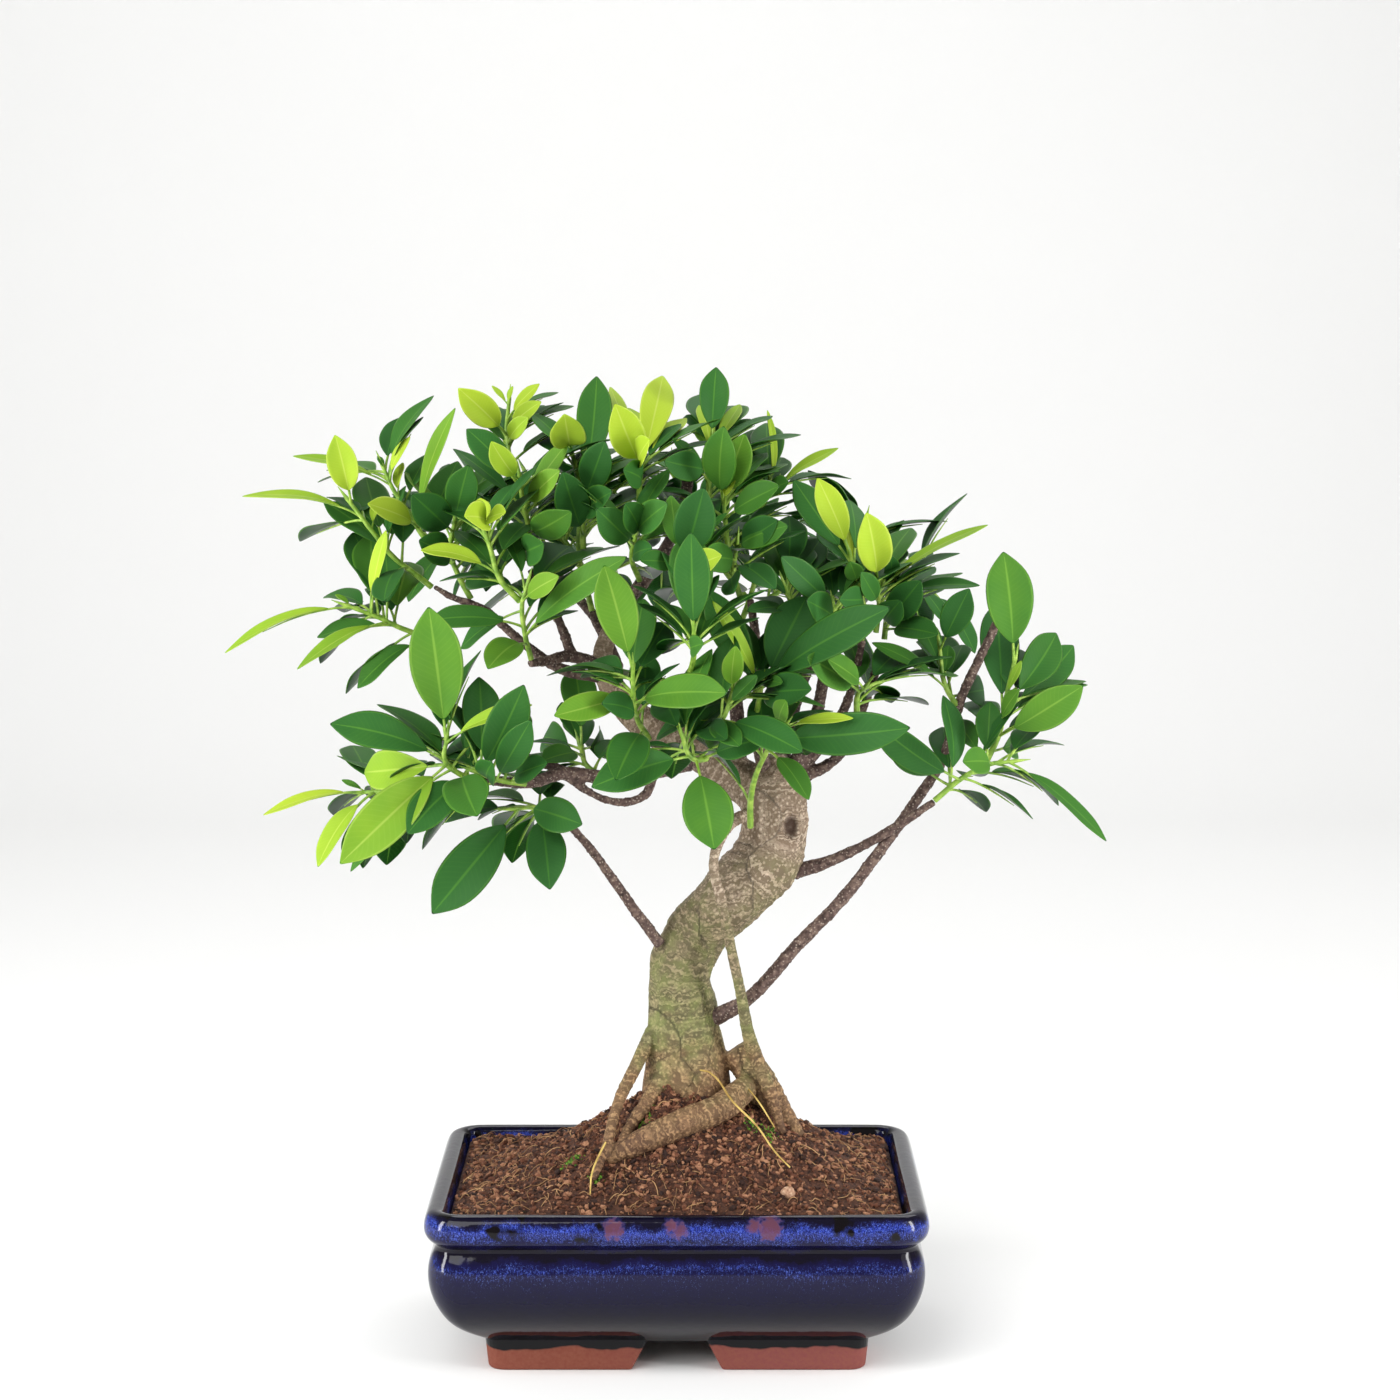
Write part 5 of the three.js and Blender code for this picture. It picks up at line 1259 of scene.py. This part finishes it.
        [(126, -16, 245), (131, -20, 258), (133, -22, 271), (136, -24, 286)],
        [(100, 131, -26, 332, 20, 0, 34), (60, 156, 3, 296, 16, 5, 20), (56, 164, 10, 290, 14, 0, 22),
         (28, 163, -34, 279, 17, -12, 46), (50, 132, 14, 307, 17, 5, 6),
         (42, 137, -40, 278, 8, 60, 40), (12, 141, 19, 250, 14, 5, 34),
         (70, 139, -26, 288, 4, 30, 60)]),
    "shoot_right_end": (
        [(105, -20, 230), (116, -24, 240), (127, -27, 246), (134, -28, 247)],
        [(100, 172, -44, 217, 10, 55, 30), (70, 113, -56, 251, 12, 35, 36),
         (30, 79, -42, 265, 16, -25, 10), (20, 88, -1, 256, 14, -25, 10),
         (60, 113, 10, 259, 11, 20, 30), (50, 139, -26, 271, 8, 66, 10)]),
}

SPRAYS = {
    "spray_back_left": [
        [(-52, 58, 316), (-62, 66, 338), (-68, 68, 354)],
        [(-57, 62, 327), (-80, 66, 330), (-94, 64, 330)],
        [(-56, 61, 325), (-54, 74, 316), (-52, 82, 306)],
    ],
    "spray_back_high": [
        [(-36, 34, 302), (-42, 40, 330), (-38, 44, 354)],
        [(-40, 38, 320), (-56, 48, 343), (-64, 52, 358)],
        [(-42, 40, 330), (-28, 50, 350), (-20, 54, 364)],
    ],
    "spray_back_middle": [
        [(4, 64, 318), (0, 70, 340), (-2, 72, 360)],
        [(2, 67, 328), (14, 76, 332), (26, 80, 336)],
        [(2, 66, 325), (-14, 74, 322), (-28, 78, 316)],
    ],
    "spray_back_right": [
        [(70, 50, 302), (76, 60, 320), (80, 64, 336)],
        [(73, 55, 311), (94, 62, 312), (108, 64, 310)],
        [(72, 54, 308), (64, 68, 302), (60, 78, 294)],
    ],
    "spray_back_inner": [
        [(24, 34, 290), (32, 40, 312), (36, 42, 334)],
        [(28, 37, 301), (46, 44, 312), (56, 48, 324)],
        [(30, 38, 306), (16, 44, 324), (8, 46, 342)],
    ],
}
RULED_TRIES = 12
BARE_FOOT = 0.15
RULED_SHORTEST, RULED_SPREAD, RULED_WIDTH_SHARE = 32, 13, 0.42
TIP_SLACK, BOX_MARGIN = 1.2, 2
FIRST_SEED = 1.25
INNER_SEED, INNER_SHARE = 50.5, 0.8
INNER_ON_SHOOT, INNER_ON_SPRAY = 6, 9
GOLDEN_ANGLE = math.radians(137.5)


# %% The rule of growth


def chance(number):
    """A fixed pattern of shares between 0 and 1, so that the same leaves grow every time."""
    wave = math.sin(number * 12.9898) * 43758.5453
    return wave - math.floor(wave)


def point_on(path, share):
    """A place on a stem's line, in millimetres."""
    along = share * (len(path) - 1)
    before = min(int(along), len(path) - 2)
    return Vector(path[before]).lerp(Vector(path[before + 1]), along - before)


def ruled_leaves(path, seed, turn_back):
    """Leaves a golden angle apart round the stem, as (base, tip, width, face, tone)."""
    stem_run = (point_on(path, 1) - point_on(path, 0)).normalized()
    across = stem_run.cross(Vector((0, 0.3, 1))).normalized()
    beside = stem_run.cross(across)
    leaves = []
    for index in range(RULED_TRIES):
        turn = GOLDEN_ANGLE * index + 2 * math.pi * chance(seed)
        base = point_on(path, BARE_FOOT + (1 - BARE_FOOT) * chance(seed * 7 + index))
        run = stem_run * 0.5 + across * math.cos(turn) + beside * math.sin(turn)
        if turn_back:
            run.y = abs(run.y)
        run.normalize()
        length = RULED_SHORTEST + RULED_SPREAD * chance(seed + index + 0.5)
        up = Vector((0, 0, 1))
        face = (up - run * up.dot(run)).normalized()
        tone = 10 + 24 * chance(seed * 3 + index)
        leaves.append((base, base + run * length, RULED_WIDTH_SHARE * length, face, tone))
    return leaves


def leaf_face(base, tip, roll):
    """Where a leaf's upper side looks: a roll of 0 is to the front of the plant, 90 is up."""
    along = (tip - base).normalized()
    front = Vector((0, -1, 0))
    front = (front - along * front.dot(along)).normalized()
    side = along.cross(front)
    if side.z < 0:
        side.negate()
    return front * math.cos(math.radians(roll)) + side * math.sin(math.radians(roll))


def stated_leaves(path, rows):
    """The leaves that a shoot states, as (base, tip, width, face, tone)."""
    leaves = []
    for share, x, y, z, width, roll, tone in rows:
        base, tip = point_on(path, share / 100), Vector((x, y, z))
        leaves.append((base, tip, width, leaf_face(base, tip, roll), tone))
    return leaves


def in_frame(node, tip):
    """True if the solid node has this leaf: one of its corners is at the leaf's tip."""
    place = spot(*tip)
    return any((vertex.co - place).length < TIP_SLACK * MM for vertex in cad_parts[node].data.vertices)


def inner_leaves(node, path, seed, turn_back, most):
    """Small old leaves close to the stem, which fill the crown. They stay in the node's own box."""
    low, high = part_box(node)
    kept = []
    for base, tip, width, face, tone in ruled_leaves(path, seed + INNER_SEED, turn_back)[:most]:
        tip = base + (tip - base) * INNER_SHARE
        place = spot(*tip)
        margin = BOX_MARGIN * MM
        if all(low[axis] + margin < place[axis] < high[axis] - margin for axis in range(3)):
            kept.append((base, tip, width * INNER_SHARE, face, tone * 0.6))
    return kept


# %% [markdown]
# ### One leaf
# The midrib leaves the stem along the stalk, bows up and falls towards its tip. A function of
# the share of the length gives that line, and the blade's rows hang on it. The outline is
# widest a little past its middle, and its last tenth narrows to the drip tip.

# %% A blade from a grid
BLADE_COLUMNS, BLADE_ROWS = 4, 9
BLADE_THICK = 0.42
STALK_LENGTH = 9
STALK_RADIUS = 0.62
STEM_RADIUS, STEM_TAPER = 1.35, 0.5


def outline_share(share):
    """Half width of the blade as a share of its widest, from stalk (0) to tip (1)."""
    body = (max(share, 0) ** 0.78 * max(1 - share, 0) ** 0.66) / 0.3715
    drip = 1 - 0.42 * max(0, (share - 0.8) / 0.2) ** 1.4
    return min(body, 1) * drip


class Leaf:
    """One leaf: where its midrib runs and which way its blade spreads."""

    def __init__(self, base, tip, width, face, tone, seed):
        self.base, self.tip, self.width, self.tone, self.seed = base, tip, width, tone, seed
        self.length = (tip - base).length
        self.along = (tip - base).normalized()
        self.face = face
        self.side = face.cross(self.along).normalized()
        self.bow = 0.05 + 0.055 * chance(seed + 0.21)
        self.fold = 0.2 + 0.2 * chance(seed + 0.37) + 0.12 * (tone > 60)
        self.twist = math.radians(34) * (chance(seed + 0.53) - 0.5)
        self.sway = 0.05 * (chance(seed + 0.71) - 0.5)
        self.wave = 0.05 + 0.06 * chance(seed + 0.83)
        self.stalk = min(STALK_LENGTH, 0.24 * self.length) / self.length

    def midrib(self, share):
        """A point of the midrib. The bow is greatest before the middle, so the tip falls."""
        bow = self.bow * self.length * 3.6 * share * (1 - share) * (1.25 - 0.5 * share)
        sway = self.sway * self.length * 4 * share * (1 - share)
        return self.base + self.along * (share * self.length) + self.face * bow + self.side * sway

    def point(self, across, share):
        """A point of the blade: across from -1 to 1, share of the blade's own length."""
        whole = self.stalk + share * (1 - self.stalk)
        half = max(self.width / 2 * outline_share(share), 0.3)
        turn = self.twist * (share - 0.4)
        side = self.side * math.cos(turn) + self.face * math.sin(turn)
        face = self.face * math.cos(turn) - self.side * math.sin(turn)
        lift = abs(across) * half * self.fold * (1.15 - 0.7 * share)
        phase = 7 * share + 6 * self.seed + (2.4 if across > 0 else 0)
        ripple = math.sin(phase) * self.wave * half * across ** 2
        return self.midrib(whole) + side * (across * half) + face * (lift + ripple)


def add_blade(bm, layers, leaf):
    """Adds one blade to a bmesh: a grid whose rows are moved to the leaf's place."""
    grid = bmesh.ops.create_grid(bm, x_segments=BLADE_COLUMNS, y_segments=BLADE_ROWS, size=1)["verts"]
    for vertex in grid:
        across, share = vertex.co.x, (vertex.co.y + 1) / 2
        vertex.co = spot(*leaf.point(across, share))
        vertex[layers["tone"]] = leaf.tone / 100
        vertex[layers["across"]] = across
        vertex[layers["along"]] = share
        vertex[layers["chance"]] = chance(leaf.seed + 0.91)


def blades(name, leaves, materials):
    """The mesh of all blades of a shoot, thickened and rounded."""
    bm = bmesh.new()
    layers = {key: bm.verts.layers.float.new(key) for key in ("tone", "across", "along", "chance")}
    for leaf in leaves:
        add_blade(bm, layers, leaf)
    made = from_bmesh(name, bm, materials)
    thick = made.modifiers.new("thickness", "SOLIDIFY")
    thick.thickness = BLADE_THICK * MM
    thick.offset = -1
    thick.material_offset = 1
    smooth = made.modifiers.new("round_margin", "SUBSURF")
    smooth.levels = smooth.render_levels = 1
    return finished_mesh(made)


# %% Stalks and green stems


def stalk_line(leaf):
    """The stalk and the midrib under the blade, tapering out before the tip."""
    stalk, blade = leaf.stalk, 1 - leaf.stalk
    shares = [0, stalk * 0.5, stalk, stalk + 0.3 * blade, stalk + 0.62 * blade]
    radii = [STALK_RADIUS * 1.15, STALK_RADIUS * 0.9, STALK_RADIUS * 0.9, 0.42, 0.18]
    small = min(1, 0.45 + leaf.width / 22)
    sink = [0, 0, 0.15, 0.45, 0.4]
    return [(leaf.midrib(share) - leaf.face * down, radius * small)
            for share, radius, down in zip(shares, radii, sink)]


def stem_line(path):
    """A green stem, with its pointed bud at the end."""
    points = [Vector(p) for p in path]
    last = len(points) - 1
    line = [(point, STEM_RADIUS - STEM_TAPER * index / last) for index, point in enumerate(points)]
    run = (points[-1] - points[-2]).normalized()
    return line + [(points[-1] + run * 2.5, 0.95), (points[-1] + run * 9, 0.15)]


# %% [markdown]
# ### Leaf, underside and stem finishes
# A mature ficus leaf is dark green with a thick wax skin, so it mirrors the windows. A young one
# is thin, yellow-green and lets light through. The midrib and the margin are paler, and the side
# veins show only as faint lines. The underside is matt and paler.

# %% Waxy leaf, matt underside and green stem


def leaf_colour(tree, underside):
    """The blade's colour from its age, its midrib, margin and veins. Gives the colour's output."""
    tone = add(tree, "Attribute", attribute_name="tone").outputs["Fac"]
    across = add(tree, "Attribute", attribute_name="across").outputs["Fac"]
    along = add(tree, "Attribute", attribute_name="along").outputs["Fac"]
    luck = add(tree, "Attribute", attribute_name="chance").outputs["Fac"]
    place = add(tree, "TexCoord").outputs["Object"]
    cloud = add(tree, "TexNoise", {"Vector": place, "Scale": 60.0, "Detail": 2.0})
    shifted = add(tree, "Math", {0: cloud, 1: 0.16, 2: -0.08}, operation="MULTIPLY_ADD")
    older = add(tree, "Math", {0: luck, 1: 0.1, 2: shifted}, operation="MULTIPLY_ADD")
    age = add(tree, "Math", {0: tone, 1: older}, operation="ADD")
    stops = LEAF_UNDER if underside else LEAF_UPPER
    blade = add(tree, "ValToRGB", {0: age}, stops=stops)

    off_midrib = add(tree, "Math", {0: across}, operation="ABSOLUTE").outputs[0]
    midrib = add(tree, "MapRange", {
        "Value": off_midrib, "From Min": 0.02, "From Max": 0.075, "To Min": 0.62, "To Max": 0.0})
    margin = add(tree, "MapRange", {
        "Value": off_midrib, "From Min": 0.93, "From Max": 0.985, "To Min": 0.0, "To Max": 0.5})
    lean = add(tree, "Math", {0: off_midrib, 1: -0.16, 2: along}, operation="MULTIPLY_ADD")
    wave = add(tree, "Math", {0: lean, 1: 118.0}, operation="MULTIPLY")
    ripple = add(tree, "Math", {0: wave}, operation="SINE")
    vein = add(tree, "MapRange", {
        "Value": ripple, "From Min": 0.55, "From Max": 1.0, "To Min": 0.0, "To Max": 0.07})
    pale = add(tree, "Math", {0: midrib, 1: margin}, operation="MAXIMUM")
    paler = add(tree, "Math", {0: pale, 1: vein}, operation="MAXIMUM")
    light = add(tree, "ValToRGB", {0: age}, stops=[
        (0.0, "#3A7A2A"), (0.4, "#6CA43A"), (0.9, "#CCDC66")])
    mixed = add(tree, "Mix", {MIX_FACTOR: paler, MIX_A: blade, MIX_B: light}, data_type="RGBA")
    return mixed.outputs[MIX_OUT], ripple.outputs[0]


LEAF_UPPER = [(0.0, "#06290A"), (0.2, "#0A3C0A"), (0.4, "#105009"), (0.55, "#226808"), (0.75, "#6CA314"),
              (0.95, "#ADCB24")]
LEAF_UNDER = [(0.0, "#2C5A2A"), (0.2, "#336A2C"), (0.4, "#467C2C"), (0.6, "#689A2C"), (0.8, "#94BA32"),
              (0.95, "#B2CC38")]


def leaf_material(name, underside, roughness, coat):
    """A leaf finish: mostly surface, with a part of the light let through the blade."""
    material, tree, output = new_material(name)
    colour, ripple = leaf_colour(tree, underside)
    bump = add(tree, "Bump", {"Height": ripple, "Strength": 0.1, "Distance": 0.05 * MM})
    blade = add(tree, "BsdfPrincipled", {
        "Base Color": colour, "Roughness": roughness, "IOR": 1.4, "Specular IOR Level": 0.24,
        "Coat Weight": coat, "Coat Roughness": 0.12, "Normal": bump})
    glow = add(tree, "BsdfTranslucent", {"Color": colour})
    mixed = add(tree, "MixShader", {0: 0.18, 1: blade, 2: glow})
    tree.links.new(mixed.outputs["Shader"], output.inputs["Surface"])
    return material


def stem_material():
    """Young green bark: yellow-green at the tips, matt, with faint long streaks."""
    return grained_material("young_green_stem", 300.0, 3.0, [
        (0.3, "#5C8428"), (0.5, "#82A838"), (0.7, "#A8C455")], 0.45)


LEAF_FINISHES = [leaf_material("waxy_leaf_upper", False, 0.36, 0.25),
                 leaf_material("matt_leaf_underside", True, 0.55, 0.0), stem_material()]
STEM_SLOT = 2


# %% Grow every shoot and spray


def grow_shoot(name, paths, leaves):
    """One piece for a shoot: its blades, stalks and stems, in place of its solid node."""
    grown = [Leaf(*leaf, seed=0.37 * index + 0.011 * len(name) + leaf[1].x * 0.01)
             for index, leaf in enumerate(leaves)]
    blade_mesh = blades(name, grown, LEAF_FINISHES)
    green_mesh = curve_mesh(name + "_stems", [stem_line(path) for path in paths] +
                            [stalk_line(leaf) for leaf in grown], sides=1)
    bm = bmesh.new()
    bm.from_mesh(blade_mesh)
    blade_count = len(bm.faces)
    bm.from_mesh(green_mesh)
    bm.faces.ensure_lookup_table()
    for face in bm.faces[blade_count:]:
        face.material_index = STEM_SLOT
    as_piece(from_bmesh(name, bm, LEAF_FINISHES), "leaf", name)


leaf_total = 0
for order, (name, (stem, rows)) in enumerate(SHOOTS.items()):
    ruled = [leaf for leaf in ruled_leaves(stem, order + FIRST_SEED, True) if in_frame(name, leaf[1])]
    inner = inner_leaves(name, stem, order, True, INNER_ON_SHOOT)
    leaves = stated_leaves(stem, rows) + ruled + inner
    leaf_total += len(leaves)
    grow_shoot(name, [stem], leaves)

for order, (name, paths) in enumerate(SPRAYS.items()):
    first_seed = 100 + 10 * order
    leaves = [leaf for stem, path in enumerate(paths)
              for leaf in ruled_leaves(path, first_seed + stem, False) if in_frame(name, leaf[1])]
    for stem, path in enumerate(paths):
        leaves += inner_leaves(name, path, first_seed + stem, False, INNER_ON_SPRAY)
    leaf_total += len(leaves)
    grow_shoot(name, paths, leaves)
print("leaves:", leaf_total)

# %% [markdown]
# ## Measure and finish
# The solid model's box and the fine model's box are both printed.

# %% Sizes
visual_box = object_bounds()
for name, box in (("solid", CAD_BOX), ("visual", visual_box)):
    print(name, [[round(c, 4) for c in corner] for corner in box])
